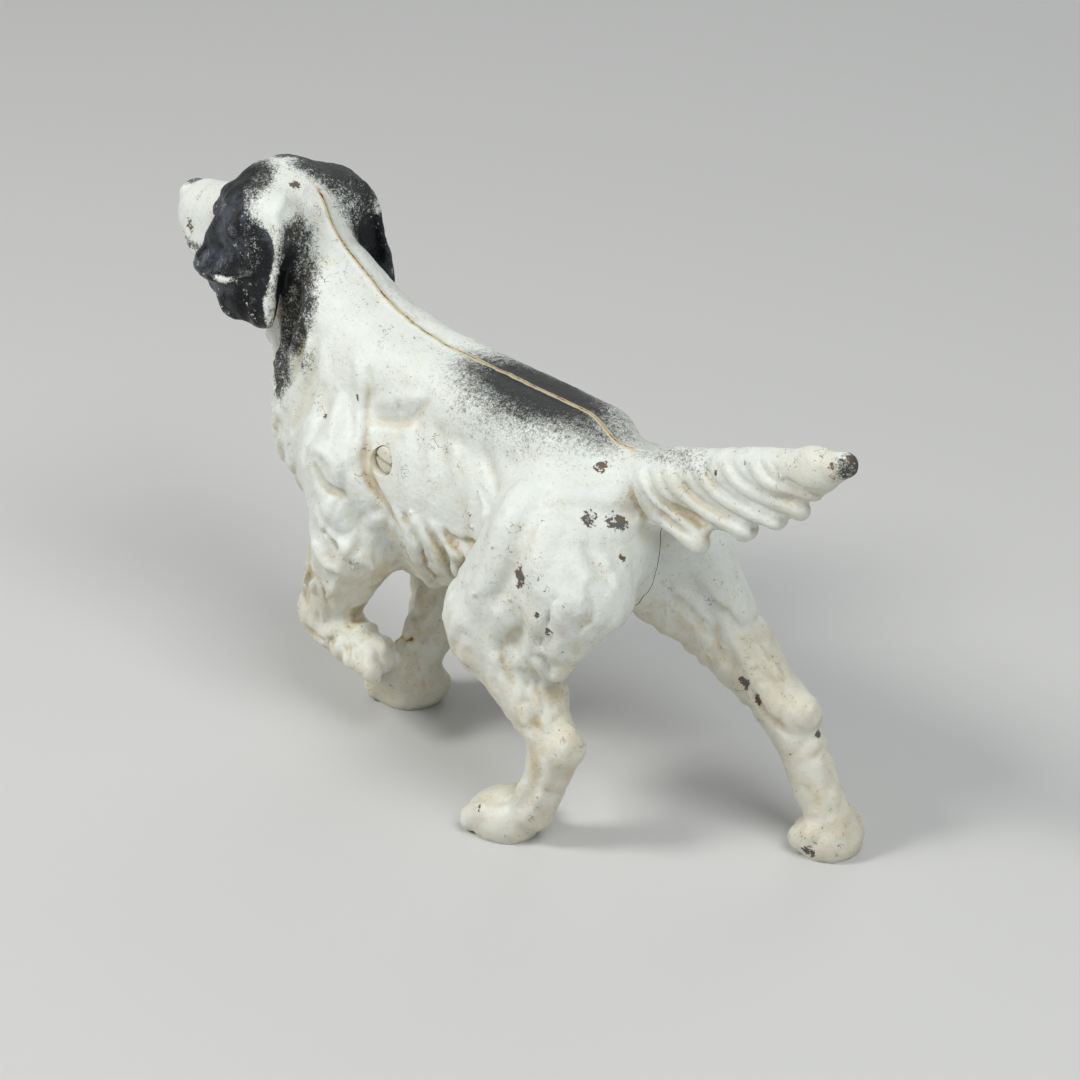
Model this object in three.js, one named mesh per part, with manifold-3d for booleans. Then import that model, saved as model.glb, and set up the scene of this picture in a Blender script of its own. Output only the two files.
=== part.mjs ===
// A hollow cast iron bank in the shape of a setter that points at game: a left casting that carries the
// head and the tail, a right casting, and the machine screw and square nut that draw the two together.
// Millimetres. +X is the way the dog looks, +Y its left, +Z up. The origin is on the floor, under its
// middle.

import * as THREE from "three";
import { mergeVertices } from "three/addons/utils/BufferGeometryUtils.js";
import Module from "manifold-3d";

const wasm = await Module();
wasm.setup();

// ---- Driving dimensions -----------------------------------------------------------------------------

const FIGURE = new THREE.Vector3(388, 114, 231); // length over nose and tail, width over paws, height
const WALL = 3.6; // least thickness of the casting
const GAP = 0.3; // between any two pieces that meet
const SKIN_STEP = 3.4; // sampling grid of the outer skin
const CORE_STEP = 6.2; // sampling grid of the hollow
const SKIN_FACES = 8600; // triangles kept on the whole outer skin
const CORE_FACES = 1500; // triangles kept on the whole hollow

const SCREW_SHANK = 6.35; // diameter
const SCREW_HEAD = 11.6; // diameter
const SCREW_HEAD_HEIGHT = 4.2;
const SCREW_SLOT = { width: 1.6, depth: 1.9 };
const HEAD_ROOM = 0.85; // round the screw's head in its recess
const HEAD_SINK = 0.4; // how deep the top of the head lies under the flank
const NUT = { side: 11.1, thick: 5.2, chamfer: 0.6 };
const NUT_SINK = 0.8; // how deep the nut's face lies under the right flank
const SCREW_PROUD = 0.3; // the screw's end past the nut's outer face
const PILLAR_WALL = 2.2; // least wall of the pillar across the hollow, round the recess and the nut
const COIN_SLOT = { length: 40, width: 4.6 };
const ROUND = 32; // facets of a round feature

// ---- The animal, as tapered limbs and eggs, drawn for a figure of the size DRAWN ----------------------

const DRAWN = new THREE.Vector3(388, 114, 231);
const LEFT = 1;
const RIGHT = -1;

const limb = (blend, from, to, r0, r1, flat = [1, 1, 1]) => ({ blend, from, to, r0, r1, flat });
const egg = (blend, centre, radii, turn = [0, 0, 0]) => ({ blend, centre, radii, turn });

const trunk = [
  limb(0, [72, 0, 120], [10, 0, 119], 41, 42, [1, 0.78, 1]),
  limb(12, [10, 0, 119], [-42, 0, 125], 42, 36, [1, 0.76, 1]),
  limb(12, [-42, 0, 125], [-66, 0, 129], 36, 33, [1, 0.85, 1]),
  ...[LEFT, RIGHT].map((side) => limb(10, [48, side * 8, 158], [-58, side * 8, 154], 16, 15)),
  limb(12, [68, 0, 106], [30, 0, 98], 32, 30, [1, 0.74, 1]),
];
const neck = [
  limb(16, [62, 0, 146], [102, 0, 182], 33, 23, [1, 0.85, 1]),
  limb(14, [86, 0, 128], [97, 0, 156], 34, 27, [1, 0.72, 1]),
];
const skull = [egg(12, [122, 0, 202], [28, 24, 27], [0, 8, 0])];
const fringe = [limb(12, [28, 0, 90], [-5, 0, 98], 18, 17, [1, 0.8, 1])];
const muzzle = [
  limb(8, [142, 0, 191], [170, 0, 188], 19, 17, [1, 0.9, 1]),
  egg(4, [175, 0, 188], [14, 14, 15]),
];
const ears = [LEFT, RIGHT].flatMap((side) => [
  egg(5, [117, side * 27, 190], [20, 7, 24], [side * -8, -8, side * -14]),
  limb(5, [121, side * 33, 180], [105, side * 31, 167], 9, 7, [1, 0.6, 1]),
]);
const raisedForeleg = [
  limb(12, [52, 20, 118], [48, 28, 84], 27, 18),
  limb(8, [48, 28, 84], [69, 28, 47], 18, 11),
  limb(6, [68, 28, 43], [36, 28, 35], 11, 10),
];
const standingForeleg = [
  limb(12, [56, -20, 118], [52, -26, 84], 26, 17),
  limb(8, [52, -26, 84], [48, -18, 46], 17, 12),
  limb(6, [48, -18, 46], [50, -6, 12], 12, 12),
  egg(5, [55, -4, 7], [18, 15, 12]),
];
const leftThigh = [limb(12, [-66, 18, 120], [-46, 32, 88], 33, 23)];
const leftHindLeg = [
  limb(8, [-46, 34, 84], [-81, 37, 47], 19, 10),
  limb(5, [-83, 37, 45], [-72, 40, 14], 10, 9),
  egg(5, [-58, 42, 7], [19, 15, 11]),
  limb(10, [-84, 28, 108], [-76, 36, 84], 21, 11),
];
const rightThigh = [limb(12, [-72, -18, 120], [-84, -28, 98], 32, 22)];
const rightHindLeg = [
  limb(8, [-84, -30, 96], [-136, -36, 57], 19, 10),
  limb(5, [-136, -36, 57], [-157, -40, 16], 11, 9),
  egg(5, [-156, -41, 7], [16, 15, 11]),
];
const tail = [
  limb(8, [-74, 0, 142], [-112, 0, 157], 13, 11),
  limb(4, [-112, 0, 157], [-196, 0, 190], 10, 4),
  limb(6, [-98, 0, 143], [-150, 0, 162], 13, 9, [1, 0.6, 1]),
  limb(6, [-150, 0, 162], [-178, 0, 179], 9, 5, [1, 0.6, 1]),
  limb(4, [-100, 3, 143], [-119, 5, 133], 9, 6, [1, 0.8, 1]),
];

const HOLLOW = [...trunk, ...neck, ...skull, ...leftThigh, ...rightThigh];
const ANIMAL = [
  ...trunk, ...neck, ...skull, ...fringe, ...muzzle, ...ears, ...raisedForeleg, ...standingForeleg,
  ...leftThigh, ...leftHindLeg, ...rightThigh, ...rightHindLeg, ...tail,
];
const SCREW_AT = [25, 131]; // x and z of the screw in the drawn figure
const COIN_SLOT_AT = [17, 92]; // x of the slot's middle, and the height that it is cut from, inside

// The head and the tail are cast whole with the left half. Seen from the side, what lies inside these
// outlines belongs to it on both sides of the spine. They pass behind the right ear and round the tail.
const HEAD_OUTLINE = [
  [101, 262], [101, 213], [91, 200], [88, 166], [97, 154], [137, 149], [232, 149], [232, 262],
];
const TAIL_OUTLINE = [
  [-84, 232], [-84, 153], [-92, 141], [-107, 132], [-120, 119], [-232, 119], [-232, 232],
];
// The standing forepaw reaches over the middle. It stays on the right half to this height and this far
// left.
const FOREPAW = { x: [20, 90], top: 32, left: 14 };

// ---- Distance to the animal's skin --------------------------------------------------------------------

const dot = (a, b) => a[0] * b[0] + a[1] * b[1] + a[2] * b[2];

/** A limb or an egg with everything that doesn't depend on the point worked out once. */
function prepare(shape) {
  if (shape.radii) {
    const turn = new THREE.Euler(...shape.turn.map(THREE.MathUtils.degToRad), "ZYX");
    const matrix = new THREE.Matrix4().makeRotationFromEuler(turn);
    const axes = [0, 1, 2].map((n) => new THREE.Vector3().setFromMatrixColumn(matrix, n).toArray());
    return { ...shape, axes };
  }
  const start = shape.from.map((value, i) => value / shape.flat[i]);
  const along = shape.to.map((value, i) => value / shape.flat[i] - start[i]);
  return { ...shape, start, along, length2: dot(along, along), least: Math.min(...shape.flat) };
}

function distance(shape, point) {
  if (shape.radii) {
    const off = point.map((value, i) => value - shape.centre[i]);
    const local = shape.axes.map((axis) => dot(axis, off));
    const near = Math.hypot(...local.map((value, i) => value / shape.radii[i]));
    const slope = Math.hypot(...local.map((value, i) => value / shape.radii[i] ** 2));
    return slope > 0 ? (near * (near - 1)) / slope : -Math.min(...shape.radii);
  }
  const off = point.map((value, i) => value / shape.flat[i] - shape.start[i]);
  const t = THREE.MathUtils.clamp(dot(off, shape.along) / shape.length2, 0, 1);
  const reach = Math.hypot(...off.map((value, i) => value - t * shape.along[i]));
  return (reach - THREE.MathUtils.lerp(shape.r0, shape.r1, t)) * shape.least;
}

/** The smaller of two distances, with their crease rounded over the width blend. */
function join(a, b, blend) {
  const overlap = blend > 0 ? Math.max(blend - Math.abs(a - b), 0) / blend : 0;
  return Math.min(a, b) - (overlap ** 3 * blend) / 6;
}

const scale = FIGURE.clone().divide(DRAWN);

/** The field of a list of shapes, below zero inside, at the size of FIGURE. */
function fieldOf(shapes) {
  const prepared = shapes.map(prepare);
  const least = Math.min(scale.x, scale.y, scale.z);
  return (x, y, z) => {
    const point = [x / scale.x, y / scale.y, z / scale.z];
    const merge = (sum, shape) => join(sum, distance(shape, point), shape.blend);
    return prepared.reduce(merge, 1e3) * least;
  };
}

// ---- From a field to a mesh ---------------------------------------------------------------------------

const CORNERS = [0, 1, 2, 3, 4, 5, 6, 7].map((n) => [n & 1, (n >> 1) & 1, n >> 2]);
const BITS = [1, 2, 4];
const CUBE_EDGES = CORNERS.flatMap((_, n) => BITS.filter((bit) => !(n & bit)).map((bit) => [n, n | bit]));
const EDGE_NUMBERS = CUBE_EDGES.map((_, n) => n);
const edgeFrom = (corner, axis) =>
  EDGE_NUMBERS.find((n) => CUBE_EDGES[n][0] === corner && CUBE_EDGES[n][1] === (corner | BITS[axis]));
const edgesOn = (bit, side) =>
  EDGE_NUMBERS.filter((n) => CUBE_EDGES[n].every((corner) => (corner & bit) === side));
const CUBE_SIDES = BITS.flatMap((bit) => [edgesOn(bit, 0), edgesOn(bit, bit)]);

/** For each edge of a cell, the patch of surface that crosses it, or -1. Touching corners stay apart. */
function patchesOf(value) {
  const patch = CUBE_EDGES.map(([a, b], n) => (value[a] < 0 !== value[b] < 0 ? n : -1));
  const unite = ([m, n]) => {
    const [kept, lost] = [patch[m], patch[n]];
    patch.forEach((id, i) => id === lost && (patch[i] = kept));
  };
  for (const side of CUBE_SIDES) {
    const crossed = side.filter((n) => patch[n] >= 0);
    if (crossed.length === 2) unite(crossed);
    if (crossed.length < 4) continue;
    const inside = [...new Set(side.flatMap((n) => CUBE_EDGES[n]))].filter((corner) => value[corner] < 0);
    inside.forEach((corner) => unite(crossed.filter((n) => CUBE_EDGES[n].includes(corner))));
  }
  return patch;
}

/** Surface nets: a point for each patch of surface in a cell, and a quad around each crossed grid edge. */
function netOf(field, lowest, highest, step) {
  const count = lowest.map((low, i) => Math.ceil((highest[i] - low) / step) + 1);
  const stride = [1, count[0], count[0] * count[1]];
  const at = (i, j, k) => i * stride[0] + j * stride[1] + k * stride[2];
  const values = new Float64Array(count[0] * count[1] * count[2]);
  for (let k = 0; k < count[2]; k++)
    for (let j = 0; j < count[1]; j++)
      for (let i = 0; i < count[0]; i++)
        values[at(i, j, k)] = field(lowest[0] + i * step, lowest[1] + j * step, lowest[2] + k * step);

  const points = [];
  const pointOf = new Int32Array(values.length * CUBE_EDGES.length);
  for (let k = 0; k < count[2] - 1; k++)
    for (let j = 0; j < count[1] - 1; j++)
      for (let i = 0; i < count[0] - 1; i++) {
        const value = CORNERS.map(([di, dj, dk]) => values[at(i + di, j + dj, k + dk)]);
        if (value.every((v) => v < 0) || value.every((v) => v >= 0)) continue;
        const patch = patchesOf(value);
        for (const id of new Set(patch.filter((n) => n >= 0))) {
          const sum = [0, 0, 0];
          const members = EDGE_NUMBERS.filter((n) => patch[n] === id);
          for (const n of members) {
            const [a, b] = CUBE_EDGES[n];
            const t = value[a] / (value[a] - value[b]);
            for (let c = 0; c < 3; c++) sum[c] += THREE.MathUtils.lerp(CORNERS[a][c], CORNERS[b][c], t);
            pointOf[at(i, j, k) * CUBE_EDGES.length + n] = points.length;
          }
          points.push([i, j, k].map((cell, c) => lowest[c] + (cell + sum[c] / members.length) * step));
        }
      }

  const faces = [];
  for (let axis = 0; axis < 3; axis++) {
    const [u, v] = [(axis + 1) % 3, (axis + 2) % 3];
    const round = [[0, 0], [1, 0], [1, 1], [0, 1]].map(([du, dv]) => ({
      back: du * stride[u] + dv * stride[v],
      edge: edgeFrom(du * BITS[u] + dv * BITS[v], axis),
    }));
    for (let n = 0; n < values.length - stride[axis]; n++) {
      const inside = values[n] < 0;
      if (inside === values[n + stride[axis]] < 0) continue;
      const ring = round.map(({ back, edge }) => pointOf[(n - back) * CUBE_EDGES.length + edge]);
      if (!inside) ring.reverse();
      faces.push([ring[0], ring[1], ring[2]], [ring[0], ring[2], ring[3]]);
    }
  }
  return { points, faces };
}

/** Moves each point along the field's slope until it lies on the surface. */
function settle(points, field) {
  const [rounds, d] = [3, 0.05];
  for (let round = 0; round < rounds; round++)
    for (const point of points) {
      const [x, y, z] = point;
      const value = field(x, y, z);
      const slope = [field(x + d, y, z) - value, field(x, y + d, z) - value, field(x, y, z + d) - value];
      const length2 = Math.max(dot(slope, slope) / d ** 2, 0.25);
      for (let c = 0; c < 3; c++) point[c] -= (value * slope[c]) / d / length2;
    }
}

// ---- Fewer triangles: the edge whose loss changes the shape least goes first ---------------------------

const cross = (a, b) => [a[1] * b[2] - a[2] * b[1], a[2] * b[0] - a[0] * b[2], a[0] * b[1] - a[1] * b[0]];
const minus = (a, b) => [a[0] - b[0], a[1] - b[1], a[2] - b[2]];
const normalOf = (a, b, c) => cross(minus(b, a), minus(c, a));

/** A heap of entries with a cost, the cheapest on top. */
class CheapestFirst {
  entries = [];

  push(entry) {
    let n = this.entries.push(entry) - 1;
    while (n > 0) {
      const parent = (n - 1) >> 1;
      if (this.entries[parent].cost <= entry.cost) break;
      this.entries[n] = this.entries[parent];
      n = parent;
    }
    this.entries[n] = entry;
  }

  pop() {
    const top = this.entries[0];
    const entry = this.entries.pop();
    const size = this.entries.length;
    for (let n = 0; size; ) {
      let child = 2 * n + 1;
      if (child + 1 < size && this.entries[child + 1].cost < this.entries[child].cost) child++;
      if (child >= size || entry.cost <= this.entries[child].cost) {
        this.entries[n] = entry;
        break;
      }
      this.entries[n] = this.entries[child];
      n = child;
    }
    return top;
  }
}

/** The sum of squared distances from a place to the planes that a quadric has gathered. */
function errorAt(q, [x, y, z]) {
  return (
    q[0] * x * x + q[3] * y * y + q[5] * z * z + q[9] +
    2 * (q[1] * x * y + q[2] * x * z + q[4] * y * z + q[6] * x + q[7] * y + q[8] * z)
  );
}

function simplify({ points, faces }, wanted) {
  const around = points.map(() => new Set());
  const quadric = points.map(() => new Float64Array(10));
  const edition = new Uint32Array(points.length);
  faces.forEach((face, n) => {
    const normal = normalOf(...face.map((v) => points[v]));
    const size = Math.hypot(...normal);
    const [a, b, c] = normal.map((value) => value / size);
    const d = -dot([a, b, c], points[face[0]]);
    const plane = [a * a, a * b, a * c, b * b, b * c, c * c, a * d, b * d, c * d, d * d];
    for (const v of face) {
      around[v].add(n);
      plane.forEach((value, i) => (quadric[v][i] += value * size));
    }
  });
  const neighbours = (v) => new Set([...around[v]].flatMap((n) => faces[n]).filter((w) => w !== v));
  const heap = new CheapestFirst();
  const offer = (a, b) => {
    const sum = quadric[a].map((value, i) => value + quadric[b][i]);
    const middle = points[a].map((value, i) => (value + points[b][i]) / 2);
    const places = [points[a], points[b], middle].map((place) => ({ place, cost: errorAt(sum, place) }));
    const best = places.reduce((least, other) => (other.cost < least.cost ? other : least));
    const span = Math.hypot(...minus(points[a], points[b]));
    const cost = best.cost + 1e-3 * span ** 2; // on a flat place the shortest edge goes first
    heap.push({ a, b, sum, place: best.place, cost, editions: [edition[a], edition[b]] });
  };
  const flips = (v, other, place) =>
    [...around[v]].some((n) => {
      const face = faces[n];
      if (face.includes(other)) return false;
      const before = normalOf(...face.map((w) => points[w]));
      const after = normalOf(...face.map((w) => (w === v ? place : points[w])));
      return dot(before, after) < 0.3 * Math.hypot(...before) * Math.hypot(...after);
    });
  points.forEach((_, a) => neighbours(a).forEach((b) => a < b && offer(a, b)));

  let left = faces.length;
  while (left > wanted && heap.entries.length) {
    const { a, b, sum, place, editions } = heap.pop();
    if (editions[0] !== edition[a] || editions[1] !== edition[b]) continue;
    const near = neighbours(b);
    const shared = [...neighbours(a)].filter((v) => near.has(v));
    if (shared.length !== 2 || flips(a, b, place) || flips(b, a, place)) continue;
    for (const n of around[b]) {
      if (faces[n].includes(a)) {
        faces[n].forEach((v) => v !== b && around[v].delete(n));
        faces[n] = null;
        left--;
      } else {
        faces[n] = faces[n].map((v) => (v === b ? a : v));
        around[a].add(n);
      }
    }
    around[b].clear();
    points[a] = place.slice();
    quadric[a] = sum;
    edition[a]++;
    edition[b]++;
    neighbours(a).forEach((v) => offer(a, v));
  }
  return { points, faces: faces.filter(Boolean) };
}

// ---- Solids, and their way to and from three.js geometry ------------------------------------------------

/** A three.js geometry or a {points, faces} net as a solid that can be cut and joined. */
function solid(shape) {
  let [vertProperties, triVerts] = [null, null];
  if (shape.isBufferGeometry) {
    const bare = shape.clone();
    bare.deleteAttribute("normal");
    bare.deleteAttribute("uv");
    const merged = mergeVertices(bare, 1e-4);
    vertProperties = new Float32Array(merged.attributes.position.array);
    triVerts = new Uint32Array(merged.index.array);
  } else {
    vertProperties = new Float32Array(shape.points.flat());
    triVerts = new Uint32Array(shape.faces.flat());
  }
  return new wasm.Manifold(new wasm.Mesh({ numProp: 3, vertProperties, triVerts }));
}

/** A solid as a geometry without the points that no triangle uses. */
function geometryOf(body) {
  const { vertProperties, triVerts } = body.getMesh();
  const geometry = new THREE.BufferGeometry();
  geometry.setAttribute("position", new THREE.BufferAttribute(new Float32Array(vertProperties), 3));
  geometry.setIndex(new THREE.BufferAttribute(new Uint32Array(triVerts), 1));
  geometry.computeVertexNormals();
  return geometry;
}

/** A box between two corners. */
function block(lowest, highest) {
  const size = highest.map((high, i) => high - lowest[i]);
  const middle = highest.map((high, i) => (high + lowest[i]) / 2);
  return solid(new THREE.BoxGeometry(...size).translate(...middle));
}

/** A round bar along y, through (x, z), from y0 to y1. */
function bar(diameter, x, z, y0, y1) {
  return solid(
    new THREE.CylinderGeometry(diameter / 2, diameter / 2, y1 - y0, ROUND).translate(x, (y0 + y1) / 2, z),
  );
}

/** An outline in x and z as a slab through the whole width, grown sideways and outwards by margin. */
function slab(outline, margin) {
  const half = FIGURE.y;
  const corners = outline.map(([x, z]) => new THREE.Vector2(x, z));
  if (THREE.ShapeUtils.isClockWise(corners)) corners.reverse();
  const grown = corners.map((corner, n) => {
    const before = corner.clone().sub(corners.at(n - 1)).normalize();
    const after = corners[(n + 1) % corners.length].clone().sub(corner).normalize();
    const out = new THREE.Vector2(before.y + after.y, -before.x - after.x).normalize();
    const slant = Math.max(out.dot(new THREE.Vector2(after.y, -after.x)), 0.3);
    return corner.clone().addScaledVector(out, margin / slant);
  });
  const options = { depth: 2 * half, bevelEnabled: false };
  const geometry = new THREE.ExtrudeGeometry(new THREE.Shape(grown), options);
  return solid(geometry.rotateX(Math.PI / 2).translate(0, half, 0));
}

// ---- The casting ----------------------------------------------------------------------------------------

// A box with room to spare round the drawn figure.
const LOWEST = [-225 * scale.x, -72 * scale.y, -18 * scale.z];
const HIGHEST = [215 * scale.x, 72 * scale.y, 246 * scale.z];

/** The closed skin that lies offset inside the field's own, with about the given number of triangles. */
function skinOf(field, offset, step, faces) {
  const inner = (x, y, z) => field(x, y, z) + offset;
  const net = netOf(inner, LOWEST, HIGHEST, step);
  settle(net.points, inner);
  return simplify(net, faces);
}

const animal = fieldOf(ANIMAL);
const skin = skinOf(animal, 0, SKIN_STEP, SKIN_FACES);
const core = skinOf(fieldOf(HOLLOW), WALL, CORE_STEP, CORE_FACES);
const ends = new THREE.Box3().setFromPoints(skin.points.map((point) => new THREE.Vector3(...point)));
const SHIFT = -(ends.min.x + ends.max.x) / 2; // brings the figure's middle over the origin
for (const point of [...skin.points, ...core.points]) point[0] += SHIFT;
const place = ([x, z]) => [x * scale.x + SHIFT, z * scale.z];

/** How far out, to the side given, the skin lies at x and z. */
function flankAt([x, z], side) {
  let [inside, outside] = [0, FIGURE.y];
  while (outside - inside > 0.01) {
    const middle = (inside + outside) / 2;
    if (animal(x - SHIFT, side * middle, z) < 0) inside = middle;
    else outside = middle;
  }
  return inside;
}

const screwAt = place(SCREW_AT);
const leftFlank = flankAt(screwAt, LEFT);
const rightFlank = flankAt(screwAt, RIGHT);
const headSeat = leftFlank - HEAD_SINK - SCREW_HEAD_HEIGHT;
const nutFace = -(rightFlank - NUT_SINK);
const nutSeat = nutFace + NUT.thick;
const recessDiameter = SCREW_HEAD + 2 * HEAD_ROOM;
const pillarDiameter = Math.max(recessDiameter, (NUT.side + 2 * GAP) * Math.SQRT2) + 2 * PILLAR_WALL;
const BEYOND = FIGURE.y; // past the flank on either side

/** The whole figure: hollow, with the screw's pillar across it and flat soles, before it is parted. */
function makeCasting() {
  const underFloor = block([-FIGURE.x, -FIGURE.y, -FIGURE.z], [FIGURE.x, FIGURE.y, 0]);
  const pillar = bar(pillarDiameter, ...screwAt, -rightFlank + WALL / 2, leftFlank - WALL / 2);
  const [slotX, slotTop] = place(COIN_SLOT_AT);
  const slot = block(
    [slotX - COIN_SLOT.length / 2, -COIN_SLOT.width / 2, 0],
    [slotX + COIN_SLOT.length / 2, COIN_SLOT.width / 2, slotTop],
  );
  return solid(skin).subtract(underFloor).subtract(solid(core)).add(pillar).subtract(slot);
}

const casting = makeCasting();
const outline = (corners) => corners.map(place);
const head = (margin) => slab(outline(HEAD_OUTLINE), margin);
const rump = (margin) => slab(outline(TAIL_OUTLINE), margin);
const forepaw = (margin) =>
  block(
    [FOREPAW.x[0] * scale.x + SHIFT - margin, -FIGURE.y, -FIGURE.z],
    [
      FOREPAW.x[1] * scale.x + SHIFT + margin,
      FOREPAW.left * scale.y + margin,
      FOREPAW.top * scale.z + margin,
    ],
  );
const shankHole = bar(SCREW_SHANK + 2 * GAP, ...screwAt, -BEYOND, BEYOND);

function makeLeftHalf() {
  const side = block([-FIGURE.x, GAP / 2, -FIGURE.z], [FIGURE.x, FIGURE.y, 2 * FIGURE.z]);
  const recess = bar(recessDiameter, ...screwAt, headSeat - GAP, BEYOND);
  const share = side.subtract(forepaw(GAP)).add(head(0)).add(rump(0));
  return casting.intersect(share).subtract(shankHole).subtract(recess);
}

function makeRightHalf() {
  const side = block([-FIGURE.x, -FIGURE.y, -FIGURE.z], [FIGURE.x, -GAP / 2, 2 * FIGURE.z]);
  const reach = NUT.side / 2 + GAP;
  const [x, z] = screwAt;
  const pocket = block([x - reach, -BEYOND, z - reach], [x + reach, nutSeat + GAP, z + reach]);
  const share = side.add(forepaw(0)).subtract(head(GAP)).subtract(rump(GAP));
  return casting.intersect(share).subtract(shankHole).subtract(pocket);
}

function makeScrew() {
  const [shank, top] = [SCREW_SHANK / 2, SCREW_HEAD / 2];
  const end = nutFace - SCREW_PROUD;
  const dome = new THREE.Path();
  dome.moveTo(0, end);
  dome.lineTo(shank - 0.8, end);
  dome.lineTo(shank, end + 0.8);
  dome.lineTo(shank, headSeat);
  dome.lineTo(top, headSeat);
  dome.bezierCurveTo(top, headSeat + SCREW_HEAD_HEIGHT * 0.7, top * 0.6, headSeat + SCREW_HEAD_HEIGHT,
    0, headSeat + SCREW_HEAD_HEIGHT);
  const body = solid(new THREE.LatheGeometry(dome.getPoints(8), ROUND));
  const low = headSeat + SCREW_HEAD_HEIGHT - SCREW_SLOT.depth;
  const slot = block([-SCREW_SLOT.width / 2, low, -SCREW_HEAD], [SCREW_SLOT.width / 2, BEYOND, SCREW_HEAD]);
  return body.subtract(slot);
}

function makeNut() {
  const half = NUT.side / 2 - NUT.chamfer;
  const square = new THREE.Shape([[-1, -1], [1, -1], [1, 1], [-1, 1]].map(([u, v]) =>
    new THREE.Vector2(u * half, v * half)));
  const options = {
    depth: NUT.thick - 2 * NUT.chamfer,
    bevelSize: NUT.chamfer,
    bevelThickness: NUT.chamfer,
    bevelSegments: 1,
  };
  const blank = new THREE.ExtrudeGeometry(square, options).translate(0, 0, NUT.chamfer);
  const bore = bar(SCREW_SHANK + 2 * GAP, 0, 0, -NUT.thick, 2 * NUT.thick);
  return solid(blank.rotateX(-Math.PI / 2)).subtract(bore);
}

// ---- The assembly ---------------------------------------------------------------------------------------

const paint = new THREE.MeshStandardMaterial({ color: 0xe9e4d8, roughness: 0.45, metalness: 0.0 });
const steel = new THREE.MeshStandardMaterial({ color: 0x8d877c, roughness: 0.5, metalness: 0.8 });

function piece(name, body, material, position = [0, 0, 0]) {
  const mesh = new THREE.Mesh(geometryOf(body), material);
  mesh.name = name;
  mesh.position.set(...position);
  return mesh;
}

const bank = new THREE.Group();
bank.add(
  piece("left_half", makeLeftHalf(), paint),
  piece("right_half", makeRightHalf(), paint),
  piece("clamp_screw", makeScrew(), steel, [screwAt[0], 0, screwAt[1]]),
  piece("square_nut", makeNut(), steel, [screwAt[0], nutFace, screwAt[1]]),
);

export default bank;
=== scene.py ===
"""A cast iron still bank in the shape of a pointing setter: two painted castings, a screw and a nut.

Places are worked out in millimetres on the drawn figure and moved into the frame's metres at the end.
+X is the way the dog looks, +Y its left and +Z up.
"""

import logging
import math
from collections.abc import Iterable, Sequence
from dataclasses import dataclass, field, replace
from enum import Enum
from typing import Any

import bmesh
import bpy
import numpy as np
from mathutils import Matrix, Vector


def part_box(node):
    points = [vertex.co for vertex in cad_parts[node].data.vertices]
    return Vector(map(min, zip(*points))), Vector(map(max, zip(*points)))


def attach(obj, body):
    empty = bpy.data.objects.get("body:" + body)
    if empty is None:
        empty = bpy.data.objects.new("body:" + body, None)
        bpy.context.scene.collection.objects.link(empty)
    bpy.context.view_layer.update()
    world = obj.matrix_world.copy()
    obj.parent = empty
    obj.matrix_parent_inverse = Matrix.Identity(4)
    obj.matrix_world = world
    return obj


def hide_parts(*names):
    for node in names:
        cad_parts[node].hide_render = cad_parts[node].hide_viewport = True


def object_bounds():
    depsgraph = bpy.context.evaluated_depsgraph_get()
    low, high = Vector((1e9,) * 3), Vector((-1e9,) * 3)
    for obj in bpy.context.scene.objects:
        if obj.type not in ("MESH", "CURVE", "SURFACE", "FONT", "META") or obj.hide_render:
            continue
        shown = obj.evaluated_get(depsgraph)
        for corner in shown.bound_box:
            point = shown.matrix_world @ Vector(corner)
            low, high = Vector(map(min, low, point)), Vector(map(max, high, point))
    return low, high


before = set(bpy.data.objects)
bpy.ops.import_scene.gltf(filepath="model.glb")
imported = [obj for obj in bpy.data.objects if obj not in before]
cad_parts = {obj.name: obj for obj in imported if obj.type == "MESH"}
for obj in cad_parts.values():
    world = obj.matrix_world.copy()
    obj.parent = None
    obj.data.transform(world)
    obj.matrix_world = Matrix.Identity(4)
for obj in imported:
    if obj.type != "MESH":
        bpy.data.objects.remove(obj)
CAD_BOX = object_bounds()

log = logging.getLogger("setter_bank")

Point = tuple[float, float, float]
Outline = Sequence[tuple[float, float]]  # x and z of its corners, drawn
MM = 0.001
GRAIN = 1.1  # mm between the samples that the skin is modelled from
CORE_GRAIN = 2.6  # the same for the hollow
DRAWN_LENGTH = 388.4  # nose to tail tip of the drawn figure, which the frame's own length scales
DRAWN_MIDDLE = -5.13  # x of its middle
CAST_EDGE = 42.0  # degrees past which an edge of a casting is hard
TURNED_EDGE = 34.0  # the same for the screw and the nut
PAPER_EDGE = 60.0  # the same for the studio's sweep
SCALE = (CAD_BOX[1].x - CAD_BOX[0].x) / MM / DRAWN_LENGTH


# ---- Modelling clay: forms, and the block of samples that they are pressed into ----------------------


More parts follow.
